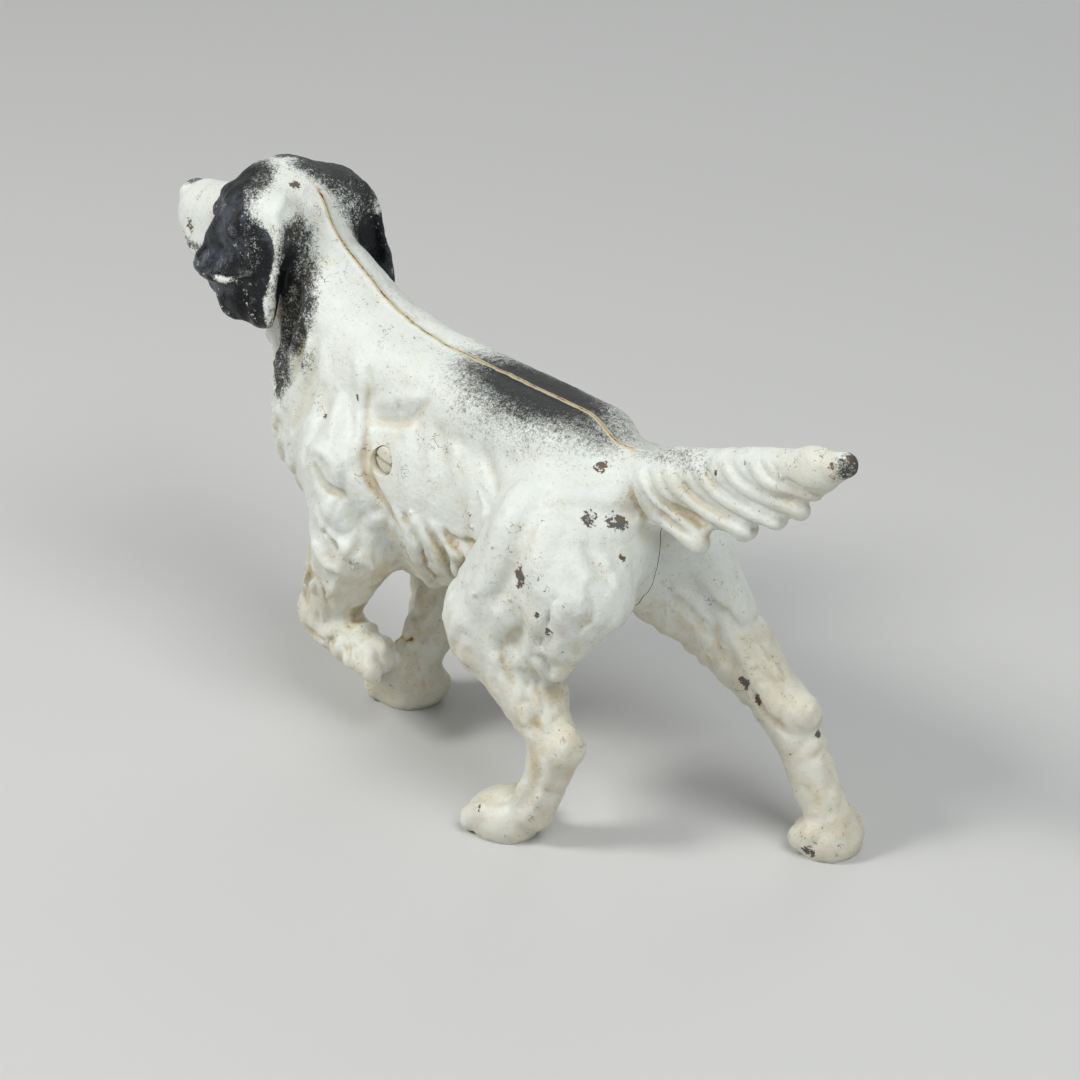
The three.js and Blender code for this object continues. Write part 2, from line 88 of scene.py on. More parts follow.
@dataclass(frozen=True)
class Limb:
    """A tapered, round-ended bar. flat squeezes its section along each axis."""

    start: Point
    end: Point
    r0: float
    r1: float
    flat: Point = (1.0, 1.0, 1.0)
    blend: float = 8.0

    def distance(self, points: np.ndarray) -> np.ndarray:
        """Signed distance from each point, below zero inside.

        Args:
            points: coordinates in their last axis.

        Returns:
            One distance for each point.
        """
        flat = np.array(self.flat, np.float32)
        start = np.array(self.start, np.float32) / flat
        along = np.array(self.end, np.float32) / flat - start
        off = points / flat - start
        t = np.clip(off @ along / max(float(along @ along), 1e-9), 0.0, 1.0)
        reach = np.linalg.norm(off - t[..., None] * along, axis=-1)
        return (reach - (self.r0 + (self.r1 - self.r0) * t)) * flat.min()

    def corners(self) -> tuple[np.ndarray, np.ndarray]:
        """The box that holds the bar.

        Returns:
            Its lowest and its highest corner.
        """
        ends = np.array([self.start, self.end])
        radius = max(self.r0, self.r1)
        return ends.min(0) - radius, ends.max(0) + radius

    def mirrored(self) -> "Limb":
        """The same bar on the dog's other side."""
        (x0, y0, z0), (x1, y1, z1) = self.start, self.end
        return Limb((x0, -y0, z0), (x1, -y1, z1), self.r0, self.r1, self.flat, self.blend)


@dataclass(frozen=True)
class Egg:
    """An ellipsoid, turned by yaw, pitch and roll in degrees."""

    centre: Point
    radii: Point
    turn: Point = (0.0, 0.0, 0.0)
    blend: float = 5.0

    def axes(self) -> np.ndarray:
        """The egg's own three directions.

        Returns:
            One direction in each row.
        """
        yaw, pitch, roll = (math.radians(angle) for angle in self.turn)
        cy, sy, cp, sp, cr, sr = (f(a) for a in (yaw, pitch, roll) for f in (math.cos, math.sin))
        about_z = np.array([[cy, -sy, 0], [sy, cy, 0], [0, 0, 1]])
        about_y = np.array([[cp, 0, sp], [0, 1, 0], [-sp, 0, cp]])
        about_x = np.array([[1, 0, 0], [0, cr, -sr], [0, sr, cr]])
        return (about_z @ about_y @ about_x).T.astype(np.float32)

    def distance(self, points: np.ndarray) -> np.ndarray:
        """Signed distance from each point, below zero inside, exact only near the surface.

        Args:
            points: coordinates in their last axis.

        Returns:
            One distance for each point.
        """
        local = (points - np.array(self.centre, np.float32)) @ self.axes().T
        radii = np.array(self.radii, np.float32)
        near = np.linalg.norm(local / radii, axis=-1)
        slope = np.maximum(np.linalg.norm(local / radii**2, axis=-1), 1e-6)
        return near * (near - 1.0) / slope

    def corners(self) -> tuple[np.ndarray, np.ndarray]:
        """The lowest and the highest corner of a box that holds the egg."""
        reach = max(self.radii)
        return np.array(self.centre) - reach, np.array(self.centre) + reach

    def mirrored(self) -> "Egg":
        """The same egg on the dog's other side."""
        (x, y, z), (yaw, pitch, roll) = self.centre, self.turn
        return Egg((x, -y, z), self.radii, (-yaw, pitch, -roll), self.blend)


Form = Limb | Egg


def join(a: np.ndarray, b: np.ndarray, blend: float) -> np.ndarray:
    """The smaller of two distances, with their crease rounded.

    Args:
        a: distances to one shape.
        b: distances to the other.
        blend: the width of the rounding.

    Returns:
        The distances to both shapes joined.
    """
    overlap = np.maximum(blend - np.abs(a - b), 0.0) / max(blend, 1e-6)
    return np.minimum(a, b) - overlap**3 * blend / 6.0


class Clay:
    """A block of distance samples. Forms are pressed into it or cut out of it, and it gives a mesh."""

    FAR = 40.0  # mm, the value of empty space
    ROOM = 3.0  # steps that a window reaches past its shapes
    FILLED = -0.02  # mm, the value of a sample that is filled to keep the surface whole
    FILL_ROUNDS = 12  # at most

    def __init__(self, low: Point, high: Point, step: float) -> None:
        """An empty block.

        Args:
            low: its lowest corner.
            high: its highest corner.
            step: between two samples.
        """
        self.low = np.array(low, np.float32)
        self.step = step
        count = np.ceil((np.array(high) - np.array(low)) / step).astype(int) + 1
        self.values = np.full(count, self.FAR, np.float32)

    def window(self, low: np.ndarray, high: np.ndarray, room: float) -> tuple[tuple[slice, ...], np.ndarray]:
        """The samples in a box with some room round it.

        Args:
            low: its lowest corner.
            high: its highest corner.
            room: round it.

        Returns:
            The slices of the samples, and their coordinates.
        """
        first = np.clip(np.floor((low - room - self.low) / self.step), 0, None).astype(int)
        last = np.clip(np.ceil((high + room - self.low) / self.step) + 1, 0, self.values.shape).astype(int)
        window = tuple(slice(a, max(a, b)) for a, b in zip(first, last))
        axes = [self.low[n] + self.step * np.arange(w.start, w.stop) for n, w in enumerate(window)]
        return window, np.stack(np.meshgrid(*axes, indexing="ij"), -1).astype(np.float32)

    def add(self, *forms: Form) -> None:
        """Presses forms into the block, each blended over its own width.

        Args:
            *forms: in the order in which they are pressed.
        """
        for form in forms:
            window, points = self.window(*form.corners(), 1.5 * form.blend + self.ROOM * self.step)
            self.values[window] = join(self.values[window], form.distance(points), form.blend)

    def sample(self, points: np.ndarray) -> np.ndarray:
        """The distance at any points, between the samples.

        Args:
            points: one point in each row.

        Returns:
            One distance for each row.
        """
        place = (points - self.low) / self.step
        cell = np.clip(np.floor(place), 0, np.array(self.values.shape) - 2).astype(int)
        part = np.clip(place - cell, 0.0, 1.0)
        total = np.zeros(len(points))
        for corner in np.ndindex(2, 2, 2):
            weight = np.prod(np.where(corner, part, 1.0 - part), axis=1)
            total += weight * self.values[tuple((cell + corner).T)]
        return total

    def slope(self, points: np.ndarray, reach: float = 1.0) -> np.ndarray:
        """The outward direction at each point, of length one.

        Args:
            points: one point in each row.
            reach: how far to each side the distance is read.

        Returns:
            One direction in each row.
        """
        steps = np.eye(3) * reach
        found = np.stack([self.sample(points + s) - self.sample(points - s) for s in steps], axis=1)
        return found / np.maximum(np.linalg.norm(found, axis=1, keepdims=True), 1e-6)

    def settle(self, points: np.ndarray, rounds: int = 4) -> np.ndarray:
        """Moves points onto the surface.

        Args:
            points: one point in each row.
            rounds: of moving them.

        Returns:
            The moved points.
        """
        for _ in range(rounds):
            points = points - self.sample(points)[:, None] * self.slope(points)
        return points

    def _one_patch_per_cell(self) -> None:
        """Fills the few samples at which a cell would hold two patches of surface."""
        good = np.array([_is_one_patch(pattern) for pattern in range(256)])
        for _ in range(self.FILL_ROUNDS):
            inside = self.values < 0
            pattern = np.zeros(np.array(inside.shape) - 1, np.uint8)
            for n, corner in enumerate(np.ndindex(2, 2, 2)):
                pattern |= inside[_shifted(corner, inside.shape)].astype(np.uint8) << n
            bad = np.argwhere(~good[pattern])
            if not len(bad):
                return
            for corner in np.ndindex(2, 2, 2):
                at = tuple((bad + corner).T)
                self.values[at] = np.minimum(self.values[at], self.FILLED)

    def mesh(self) -> tuple[np.ndarray, np.ndarray]:
        """The surface as a net of four-sided faces that point out.

        Returns:
            The points, and the four point numbers of each face.
        """
        self._one_patch_per_cell()
        values, inside = self.values, self.values < 0
        count = sum(inside[_shifted(c, inside.shape)].astype(np.int8) for c in np.ndindex(2, 2, 2))
        crossed = (count > 0) & (count < 8)
        cells = np.argwhere(crossed)
        number = np.full(crossed.shape, -1, np.int64)
        number[crossed] = np.arange(len(cells))
        total, hits = np.zeros((len(cells), 3)), np.zeros(len(cells))
        for corner in np.ndindex(2, 2, 2):
            for axis in range(3):
                if corner[axis]:
                    continue
                unit = np.eye(3, dtype=int)[axis]
                a = values[tuple((cells + corner).T)]
                b = values[tuple((cells + corner + unit).T)]
                hit = (a < 0) != (b < 0)
                t = np.where(hit, a / np.where(hit, a - b, 1.0), 0.0)
                total += np.where(hit[:, None], np.array(corner) + t[:, None] * unit, 0.0)
                hits += hit
        points = self.low + self.step * (cells + total / hits[:, None])
        faces = []
        for axis in range(3):
            u, v = np.eye(3, dtype=int)[(axis + 1) % 3], np.eye(3, dtype=int)[(axis + 2) % 3]
            here = inside.take(range(inside.shape[axis] - 1), axis)
            there = inside.take(range(1, inside.shape[axis]), axis)
            at = np.argwhere(here != there)
            ring = [number[tuple((at - back).T)] for back in (0 * u, u, u + v, v)]
            quads = np.stack(ring, axis=1)
            outward = inside[tuple(at.T)]
            quads[~outward] = quads[~outward][:, ::-1]
            faces.append(quads)
        return points, np.concatenate(faces)


def _shifted(corner: Sequence[int], shape: Sequence[int]) -> tuple[slice, ...]:
    """The slices that give every cell's sample at one of its corners.

    Args:
        corner: 0 or 1 along each axis.
        shape: of the block of samples.

    Returns:
        One slice for each axis.
    """
    return tuple(slice(c, n - 1 + c) for c, n in zip(corner, shape))


def _is_one_patch(pattern: int) -> bool:
    """Whether a cell's inside corners hang together along its edges, and its outside ones too.

    Args:
        pattern: one bit for each corner, set where it is inside.

    Returns:
        True if both do.
    """
    corners = list(np.ndindex(2, 2, 2))
    for wanted in (0, 1):
        group = [c for n, c in enumerate(corners) if (pattern >> n & 1) == wanted]
        reached = set(group[:1])
        for _ in range(8):
            near = {c for c in group for r in reached if sum(abs(p - q) for p, q in zip(c, r)) == 1}
            reached |= near
        if len(reached) != len(group):
            return False
    return True


@dataclass(frozen=True)
class Lock:
    """A wave of hair, a muscle or a crease that follows the skin along a few points.

    rise is how far it stands proud of the skin, or lies under it where it is below zero.
    """

    points: tuple[Point, ...]
    width: float
    rise: float
    both_sides: bool = False
    taper: float = 0.35  # the share of its width that is left at its ends
    blend: float = 2.5

    FULLNESS = 0.8  # the power that fattens its middle
    TIP = 0.02  # the share of its length at each end that doesn't narrow further

    def mirrored(self) -> "Lock":
        """The same wave on the dog's other side."""
        across = tuple((x, -y, z) for x, y, z in self.points)
        return Lock(across, self.width, self.rise, False, self.taper, self.blend)

    def course(self, spacing: float = 3.0) -> np.ndarray:
        """Points along a smooth curve through the lock's own points.

        Args:
            spacing: between them, about.

        Returns:
            One point in each row.
        """
        knots = np.array(self.points, float)
        if len(knots) == 2:
            knots = np.array([knots[0], knots.mean(0), knots[1]])
        padded = np.vstack([2 * knots[0] - knots[1], knots, 2 * knots[-1] - knots[-2]])
        found = []
        for p0, p1, p2, p3 in zip(padded, padded[1:], padded[2:], padded[3:]):
            steps = max(2, round(float(np.linalg.norm(p2 - p1)) / spacing))
            t = np.linspace(0, 1, steps, endpoint=False)[:, None]
            curve = 2 * p1 + (p2 - p0) * t + (2 * p0 - 5 * p1 + 4 * p2 - p3) * t**2
            found.append((curve + (3 * p1 - p0 - 3 * p2 + p3) * t**3) / 2)
        return np.vstack([*found, knots[-1:]])

    def press(self, clay: Clay) -> None:
        """Presses the lock into the clay, or cuts it out.

        Args:
            clay: that holds the skin.
        """
        course = clay.settle(self.course())
        out = clay.slope(course, 2.0)
        along = np.linspace(0, 1, len(course))
        swell = self.taper + (1 - self.taper) * np.sin(np.pi * np.clip(along, self.TIP, 1 - self.TIP)) ** self.FULLNESS
        radius = self.width / 2 * swell
        rise = abs(self.rise) * swell
        away = -(radius - rise) if self.rise > 0 else radius - rise
        centres = course + out * away[:, None]
        reach = radius.max() + self.blend
        window, points = clay.window(centres.min(0), centres.max(0), float(reach) + clay.ROOM * clay.step)
        bars = zip(centres, centres[1:], radius, radius[1:])
        lock = np.full(points.shape[:-1], Clay.FAR, np.float32)
        for a, b, r0, r1 in bars:
            lock = np.minimum(lock, Limb(tuple(a), tuple(b), float(r0), float(r1)).distance(points))
        skin = clay.values[window]
        clay.values[window] = join(skin, lock, self.blend) if self.rise > 0 else -join(-skin, lock, self.blend)


class Weave:
    """Smooth noise on a lattice that repeats, the same on every run."""

    def __init__(self, seed: int, size: int = 48) -> None:
        """A lattice of random values.

        Args:
            seed: of the random values.
            size: points of the lattice along each side.
        """
        self.lattice = np.random.default_rng(seed).uniform(-1, 1, (size,) * 3).astype(np.float32)

    def at(self, points: np.ndarray, scale: float) -> np.ndarray:
        """The noise at each point.

        Args:
            points: one point in each row.
            scale: the size of one wave.

        Returns:
            A value from -1 to 1 for each row.
        """
        place = points / scale
        cell = np.floor(place).astype(int)
        part = place - cell
        part = part * part * (3 - 2 * part)
        size = self.lattice.shape[0]
        total = np.zeros(len(points))
        for corner in np.ndindex(2, 2, 2):
            weight = np.prod(np.where(corner, part, 1.0 - part), axis=1)
            total += weight * self.lattice[tuple(((cell + corner) % size).T)]
        return total


# ---- The dog, as it was modelled for the pattern ------------------------------------------------------


@dataclass(frozen=True)
class SetterPattern:
    """The pattern maker's dog. Its lists hold the forms and the waves of each part of the body."""

    toe_spread: tuple[float, ...] = (-9.0, -3.2, 3.2, 9.0)  # y of the toes of a standing paw
    curled_toes: tuple[float, ...] = (-6.6, -2.2, 2.2, 6.6)  # the same for the raised one
    wall: float = 3.6
    curl_depth: float = 1.5  # how much deeper the raised arm's curls are cut than they are drawn

    def trunk(self) -> list[Form]:
        """Rib cage, loin, back and brisket.

        Returns:
            The forms.
        """
        forms: list[Form] = [
            Limb((72, 0, 120), (10, 0, 119), 41, 42, (1, 0.78, 1), 0.0),
            Limb((10, 0, 119), (-42, 0, 125), 42, 36, (1, 0.76, 1), 12),
            Limb((-42, 0, 125), (-66, 0, 129), 36, 33, (1, 0.85, 1), 12),
            Limb((68, 0, 106), (30, 0, 98), 32, 30, (1, 0.74, 1), 12),
        ]
        back = Limb((48, 8, 158), (-58, 8, 154), 16, 15, blend=10)
        return [*forms, back, back.mirrored()]

    def neck(self) -> list[Form]:
        """The arched neck and the throat.

        Returns:
            The forms.
        """
        return [
            Limb((62, 0, 146), (102, 0, 182), 33, 23, (1, 0.85, 1), 16),
            Limb((86, 0, 128), (97, 0, 156), 34, 27, (1, 0.72, 1), 14),
        ]

    def skull(self) -> list[Form]:
        """The rounded skull."""
        return [Egg((122, 0, 201), (28, 24, 26.5), (0, 8, 0), 12)]

    def thighs(self) -> list[Form]:
        """The left thigh under the body and the right one behind it.

        Returns:
            The forms.
        """
        return [
            Limb((-66, 18, 120), (-46, 32, 88), 33, 23, blend=12),
            Limb((-72, -18, 120), (-84, -28, 98), 32, 22, blend=12),
        ]

    def hollow(self) -> list[Form]:
        """What the hollow of the casting follows."""
        return [*self.trunk(), *self.neck(), *self.skull(), *self.thighs()]

    def face(self) -> list[Form]:
        """Muzzle, flews, jaw, nose, brows and eyes.

        Returns:
            The forms.
        """
        forms: list[Form] = [
            Limb((144, 0, 192), (172, 0, 189.5), 17, 15, (1, 0.88, 1), 7),
            Egg((177, 0, 189.5), (11.5, 12.5, 13.5), blend=3),
            Limb((146, 0, 183), (172, 0, 181), 13, 9.5, (1, 0.85, 1), 5),
            Egg((184, 0, 197), (5, 8, 5.5), blend=2),
        ]
        flew = Egg((164, 9, 181), (17, 6.5, 8.5), (-6, 6, 0), 4)
        brow = Egg((139, 14, 210), (8, 6, 5), (-20, 0, -25), 4)
        eye = Egg((143, 18, 203), (4.4, 3.6, 4.4), blend=1.2)
        return [*forms, *(f for form in (flew, brow, eye) for f in (form, form.mirrored()))]

    def face_creases(self) -> list[Lock]:
        """Mouth, nostrils, the furrow over the brow and the folds of the flews.

        Returns:
            The waves.
        """
        return [
            Lock(((188, 4, 184), (176, 12, 180), (160, 16, 179), (150, 17, 183)), 2.4, -1.3, True, 0.6, 1.2),
            Lock(((191, 3.5, 197), (189, 6.5, 195)), 2.2, -1.2, True, 0.8, 0.8),
            Lock(((150, 0, 212), (138, 0, 222), (124, 0, 229)), 5, -0.9),
            Lock(((149, 20, 202), (142, 22, 198), (136, 22, 202)), 2.0, -0.8, True, 0.5, 1.0),
            Lock(((149, 18, 205), (143, 20, 209), (136, 20, 206)), 2.2, 0.8, True, 0.5, 1.0),
            Lock(((156, 14, 196), (146, 18, 190), (140, 20, 182)), 5, -1.0, True),
        ]

    def ear_root(self) -> list[Form]:
        """Where the left ear grows out of the skull."""
        return [Egg((113, 16, 208), (19, 10, 14), (-4, 0, -20), 10)]

    def ear_leaf(self) -> list[Form]:
        """The left ear, a long leaf that hangs in folds.

        Returns:
            The forms.
        """
        folds = (
            ((126, 21, 207), (136, 31, 188), 9.5, 7.0), ((118, 23, 206), (126, 33, 182), 10.5, 8.0),
            ((109, 22, 206), (113, 33, 176), 10.5, 8.5), ((102, 22, 202), (101, 31, 173), 8.5, 7.0),
        )
        return [Limb(a, b, r0, r1, (1, 0.72, 1), 8) for a, b, r0, r1 in folds]

    def ear_waves(self) -> list[Lock]:
        """Ridges and hollows of the ears.

        Returns:
            The waves.
        """
        return [
            Lock(((104, 18, 214), (99, 23, 205), (95, 27, 193), (97, 31, 181), (95, 33, 170)), 5.5, 2.4, True, 0.6, 3),
            Lock(((140, 33, 185), (130, 37, 184), (116, 39, 185), (104, 37, 189)), 4.5, 2.2, True, 0.6, 2.5),
            Lock(((140, 32, 192), (126, 37, 195), (110, 37, 198)), 13, -2.4, True, blend=5),
            Lock(((134, 36, 178), (123, 39, 178), (113, 39, 180)), 8, -2.3, True, blend=3),
            Lock(((107, 38, 184), (105, 38, 176), (106, 36, 169)), 5, -1.7, True, blend=3),
            Lock(((122, 32, 206), (111, 34, 196)), 5, 1.8, True, blend=3),
            Lock(((124, 38, 175), (118, 39, 171), (112, 38, 168)), 4.5, 1.8, True, blend=2.5),
            Lock(((103, 36, 180), (100, 36, 170)), 4, 1.4, True, blend=2),
            Lock(((131, 37, 180), (128, 37, 173)), 4, -1.3, True, blend=2.5),
            Lock(((94, 20, 207), (89, 23, 192), (89, 26, 176), (95, 26, 160)), 10, -3.0, True, blend=6),
        ]

    def neck_waves(self) -> list[Lock]:
        """Hair behind the ears and down the throat, and the ruff of the chest.

        Returns:
            The waves.
        """
        waves = [
            Lock(((93, 22, 186), (86, 25, 172), (90, 28, 158), (98, 26, 146)), 8, 2.2, True, blend=5),
            Lock(((84, 24, 180), (79, 27, 164), (84, 30, 148), (92, 29, 134)), 8, 1.7, True, blend=5),
            Lock(((99, 24, 168), (99, 26, 157), (106, 22, 147)), 6, 2.0, True, blend=4),
            Lock(((89, 25, 180), (83, 27, 167), (87, 29, 152), (95, 28, 140)), 4, -2.0, True, blend=3),
            Lock(((77, 27, 172), (73, 30, 156), (78, 32, 140), (85, 32, 126)), 7, -1.7, True, blend=5),
            Lock(((70, 29, 164), (66, 32, 148), (70, 35, 134)), 8, 1.6, True, blend=6),
            Lock(((112, 18, 168), (117, 16, 156), (120, 12, 146)), 6, 1.8, True),
        ]
        for n in range(5):
            low, x = 150 - 11 * n, 121 - 1.4 * n
            middle = ((x - 8, 18, low + 8), (x - 1, 10, low), (x + 1, 4, low - 10))
            waves.append(Lock(middle, 8, 2.2, True, blend=4))
            beside = ((x - 20, 26, low), (x - 12, 21, low - 10), (x - 9, 17, low - 20))
            waves.append(Lock(beside, 8, 1.8, True, blend=4))
        return waves

    def shoulder_waves(self) -> list[Lock]:
        """The edge of the shoulder blade, its folds, and the curls on the upper arm.

        Returns:
            The waves.
        """
        return [
            Lock(((48, 24, 163), (43, 27, 155), (42, 30, 147), (37, 33, 141), (38, 36, 130)), 8, 2.2, True, 0.5, 4),
            Lock(((41, 26, 162), (38, 28, 155), (38, 29, 149), (35, 30, 144)), 4.5, -1.5, True, 0.5, 3),
            Lock(((36, 31, 143), (34, 33, 135), (31, 35, 124), (21, 36, 112), (13, 33, 101)), 4.5, -2, True, 0.5, 2.5),
            Lock(((33, 30, 146), (22, 29, 148), (13, 27, 152), (8, 24, 159)), 4.5, -1.6, True, 0.5, 3),
            Lock(((34, 27, 152), (23, 26, 156), (14, 24, 160)), 7, 1.5, True, blend=5),
            Lock(((24, 27, 156), (22, 27, 151)), 3, -1.2, True, blend=2),
            Lock(((56, 30, 152), (52, 34, 143), (48, 38, 133)), 8, 1.5, True, blend=5),
            Lock(((64, 32, 150), (60, 36, 138), (58, 40, 124)), 7, -1.3, True, blend=6),
            Lock(((57, 42, 129), (49, 43, 131), (42, 42, 127), (41, 42, 119)), 7, 2.6, True, 0.6, 3),
            Lock(((52, 44, 124), (47, 44, 117), (40, 42, 115)), 5, -2.3, True, 0.6, 2.5),
            Lock(((48, 43, 128), (46, 44, 122)), 3, -1.2, True, blend=2),
            Lock(((36, 38, 122), (30, 38, 112), (27, 38, 102)), 9, 2.2, True, blend=5),
            Lock(((40, 41, 114), (36, 41, 106), (32, 40, 99)), 7, -2.0, True, blend=4),
            Lock(((50, 45, 114), (44, 45, 106), (37, 43, 100)), 9, 1.8, True, blend=5),
        ]

    def rib_waves(self) -> list[Lock]:
        """Ribs, the fold before the thigh, and the fringe under the belly.

        Returns:
            The waves.
        """
        waves = [
            Lock(((-28, 33, 150), (-38, 35, 140), (-42, 38, 130), (-35, 36, 118)), 8, -2.2, True, 0.5, 5),
            Lock(((-16, 34, 146), (-22, 35, 132), (-24, 35, 118)), 12, 1.3, True, blend=8),
            Lock(((-30, 35, 136), (-37, 37, 128), (-38, 37, 118)), 3, 1.4, True, blend=2),
            Lock(((-36, 36, 140), (-42, 39, 132), (-44, 40, 124)), 3, 1.2, True, blend=2),
            Lock(((-12, 30, 108), (-24, 32, 110), (-36, 35, 117)), 4, -1.8, True, 0.6, 3),
            Lock(((-14, 28, 102), (-24, 30, 103), (-33, 33, 109)), 8, 2.2, True, blend=4),
            Lock(((-14, 22, 92), (-22, 26, 95), (-32, 32, 102)), 4, -1.8, True, 0.6, 3),
        ]
        for n in range(3):
            x = 4 - 12 * n
            waves.append(Lock(((x + 6, 29, 150), (x, 33, 136), (x - 3, 34, 116)), 9, -0.6, True, blend=6))
        for n, sway in enumerate((3.0, -1.0, 2.0)):
            x = 16 - 11 * n
            lock = ((x, 34, 112), (x - 8, 31, 101), (x - 6 + sway, 24, 89), (x - 4 + sway, 14, 80 + n))
            waves.append(Lock(lock, 8, 2.3, True, 0.45, 3))
            groove = tuple((px - 5.5, py, pz) for px, py, pz in lock)
            waves.append(Lock(groove, 4, -1.9, True, 0.5, 2))
        return waves

    def raised_foreleg(self) -> list[Form]:
        """The left foreleg, folded under the chest.

        Returns:
            The forms.
        """
        return [
            Limb((52, 20, 118), (48, 28, 84), 27, 17, blend=12),
            Limb((48, 28, 84), (69, 28, 47), 17, 11, blend=8),
            Limb((69, 28, 46), (50, 28, 39), 11.5, 9.5, blend=5),
            Limb((50, 28, 39), (38, 28, 37), 9.5, 8.5, blend=4),
            *(Limb((44, 28 + s, 38), (33.5 - s * 0.35, 28 + s, 35), 5.0, 4.6, blend=2) for s in self.curled_toes),
        ]

    def standing_foreleg(self) -> list[Form]:
        """The right foreleg, straight down and in under the middle.

        Returns:
            The forms.
        """
        return [
            Limb((56, -20, 118), (52, -26, 84), 26, 17, blend=12),
            Limb((52, -26, 84), (48, -18, 46), 17, 12, blend=8),
            Limb((48, -18, 46), (50, -7, 22), 12, 9.6, blend=6),
            Limb((50, -7, 22), (50, -5, 10), 9.6, 11, blend=5),
            Limb((42, -24, 60), (41, -19, 44), 7, 6, blend=6),
            Egg((43, -8, 9), (7, 9, 8), blend=4),
        ]

    def left_hind_leg(self) -> list[Form]:
        """The left hind leg from the knee down, and the feather at the back of its thigh.

        Returns:
            The forms.
        """
        return [
            Limb((-46, 34, 84), (-81, 37, 47), 19, 9.5, blend=8),
            Limb((-83, 37, 45), (-72, 40, 14), 9.5, 9, blend=5),
            Egg((-88, 37, 46), (7, 7, 8), blend=4),
            Limb((-86, 28, 110), (-77, 36, 84), 21, 10, blend=10),
            Limb((-95, 30, 112), (-84, 38, 78), 12, 3.5, blend=5),
        ]

    def right_hind_leg(self) -> list[Form]:
        """The right hind leg, stretched far back.

        Returns:
            The forms.
        """
        return [
            Limb((-84, -30, 96), (-136, -36, 57), 19, 10, blend=8),
            Limb((-136, -36, 57), (-157, -40, 16), 10.5, 9, blend=5),
            Egg((-146, -36, 58), (7, 7, 8), blend=4),
            Limb((-98, -26, 112), (-112, -32, 92), 13, 8, blend=6),
        ]

    def paw(self, x: float, y: float, length: float = 18.0) -> list[Form]:
        """A knuckled paw that stands flat.

        Args:
            x: of its middle.
            y: of its middle.
            length: from its middle to the tip of the toes.

        Returns:
            The pad and its four toes.
        """
        forms: list[Form] = [Egg((x - 2, y, 6), (length - 3, 14, 12), blend=5)]
        for spread in self.toe_spread:
            front = x + length - 8 - abs(spread) * 0.45
            forms.append(Limb((front - 6, y + spread, 10.5), (front, y + spread * 1.05, 6), 5.6, 5.8, blend=2.2))
        return forms

    def leg_waves(self) -> list[Lock]:
        """Curls, sinews and creases of the four legs.

        Returns:
            The waves.
        """
        both = [
            Lock(((-70, 34, 152), (-72, 41, 144), (-72, 48, 132), (-69, 51, 118), (-62, 52, 105)), 12, -3.0, blend=4),
            Lock(((-76, 40, 147), (-84, 34, 149), (-93, 25, 147), (-101, 16, 142)), 10, -1.7, blend=6),
            Lock(((-58, 37, 150), (-61, 44, 137), (-59, 50, 120), (-53, 52, 104), (-48, 52, 92)), 14, 2.2, blend=7),
            Lock(((-92, 46, 116), (-88, 48, 106), (-83, 48, 95), (-84, 44, 82)), 4.4, -2.4, taper=0.5, blend=2),
            Lock(((-78, 49, 108), (-82, 50, 100), (-82, 49, 92)), 9, 1.8, blend=6),
            Lock(((-90, 40, 130), (-97, 37, 122), (-99, 38, 112)), 8, 1.6, blend=5),
            Lock(((-98, 37, 120), (-101, 38, 111), (-97, 41, 102)), 4, -1.6, blend=3),
            Lock(((-94, 33, 134), (-101, 32, 129), (-106, 29, 122)), 5, -1.5, blend=4),
            Lock(((-92, 44, 112), (-94, 45, 101), (-89, 44, 89)), 7, 1.5, blend=4),
            Lock(((-84, 50, 128), (-82, 52, 114), (-78, 51, 104)), 12, 1.2, blend=8),
        ]
        shank = [
            Lock(((-78, 47, 102), (-72, 49, 94), (-66, 49, 86)), 6, -1.3, blend=4),
            Lock(((-80, 47, 92), (-74, 49, 84), (-67, 49, 78)), 7, 1.6, blend=4),
            Lock(((-64, 50, 86), (-66, 50, 78), (-71, 49, 70)), 5, -1.0, blend=4),
            Lock(((-73, 47, 67), (-76, 46, 75), (-75, 47, 84)), 4, -1.3, blend=3),
            Lock(((-74, 47, 66), (-80, 46, 56), (-84, 46, 46)), 5, -1.7, blend=4),
            Lock(((-62, 51, 80), (-71, 50, 65), (-78, 48, 52)), 6, 1.6, blend=4),
            Lock(((-82, 46, 36), (-79, 47, 26), (-74, 48, 18)), 5, -1.2, blend=3),
            Lock(((-90, 43, 50), (-92, 42, 42)), 7, 1.2, blend=4),
            Lock(((-62, 48, 17), (-58, 50, 17), (-50, 50, 12)), 6, -1.6, blend=4),
            Lock(((-66, 40, 20), (-64, 34, 18), (-60, 30, 14)), 6, -1.8, blend=4),
        ]
        arm = [
            Lock(((52, 46, 106), (44, 46, 96), (36, 44, 91), (31, 42, 84)), 5, 1.6),
            Lock(((48, 46, 100), (40, 46, 91), (34, 43, 84)), 3.4, -1.5),
            Lock(((56, 45, 92), (46, 46, 84), (38, 44, 79)), 4.5, 1.5),
            Lock(((40, 44, 78), (46, 43, 70), (50, 42, 62)), 5, 1.5),
            Lock(((46, 44, 76), (51, 43, 68), (54, 41, 60)), 3.2, -1.4),
            Lock(((64, 44, 88), (68, 42, 72), (72, 40, 56)), 5, 1.2),
            Lock(((60, 42, 76), (66, 41, 64), (68, 39, 54)), 4, -1.2),
            Lock(((34, 43, 96), (28, 40, 88), (27, 34, 80)), 6, 1.5),
            Lock(((68, 39, 41), (60, 38, 40), (52, 38, 42)), 4, -1.2),
            Lock(((48, 37, 46), (42, 38, 38), (40, 37, 31)), 3.4, -1.3),
            Lock(((40, 37, 44), (34, 37, 38), (32, 36, 31)), 2.8, -1.2),
        ]
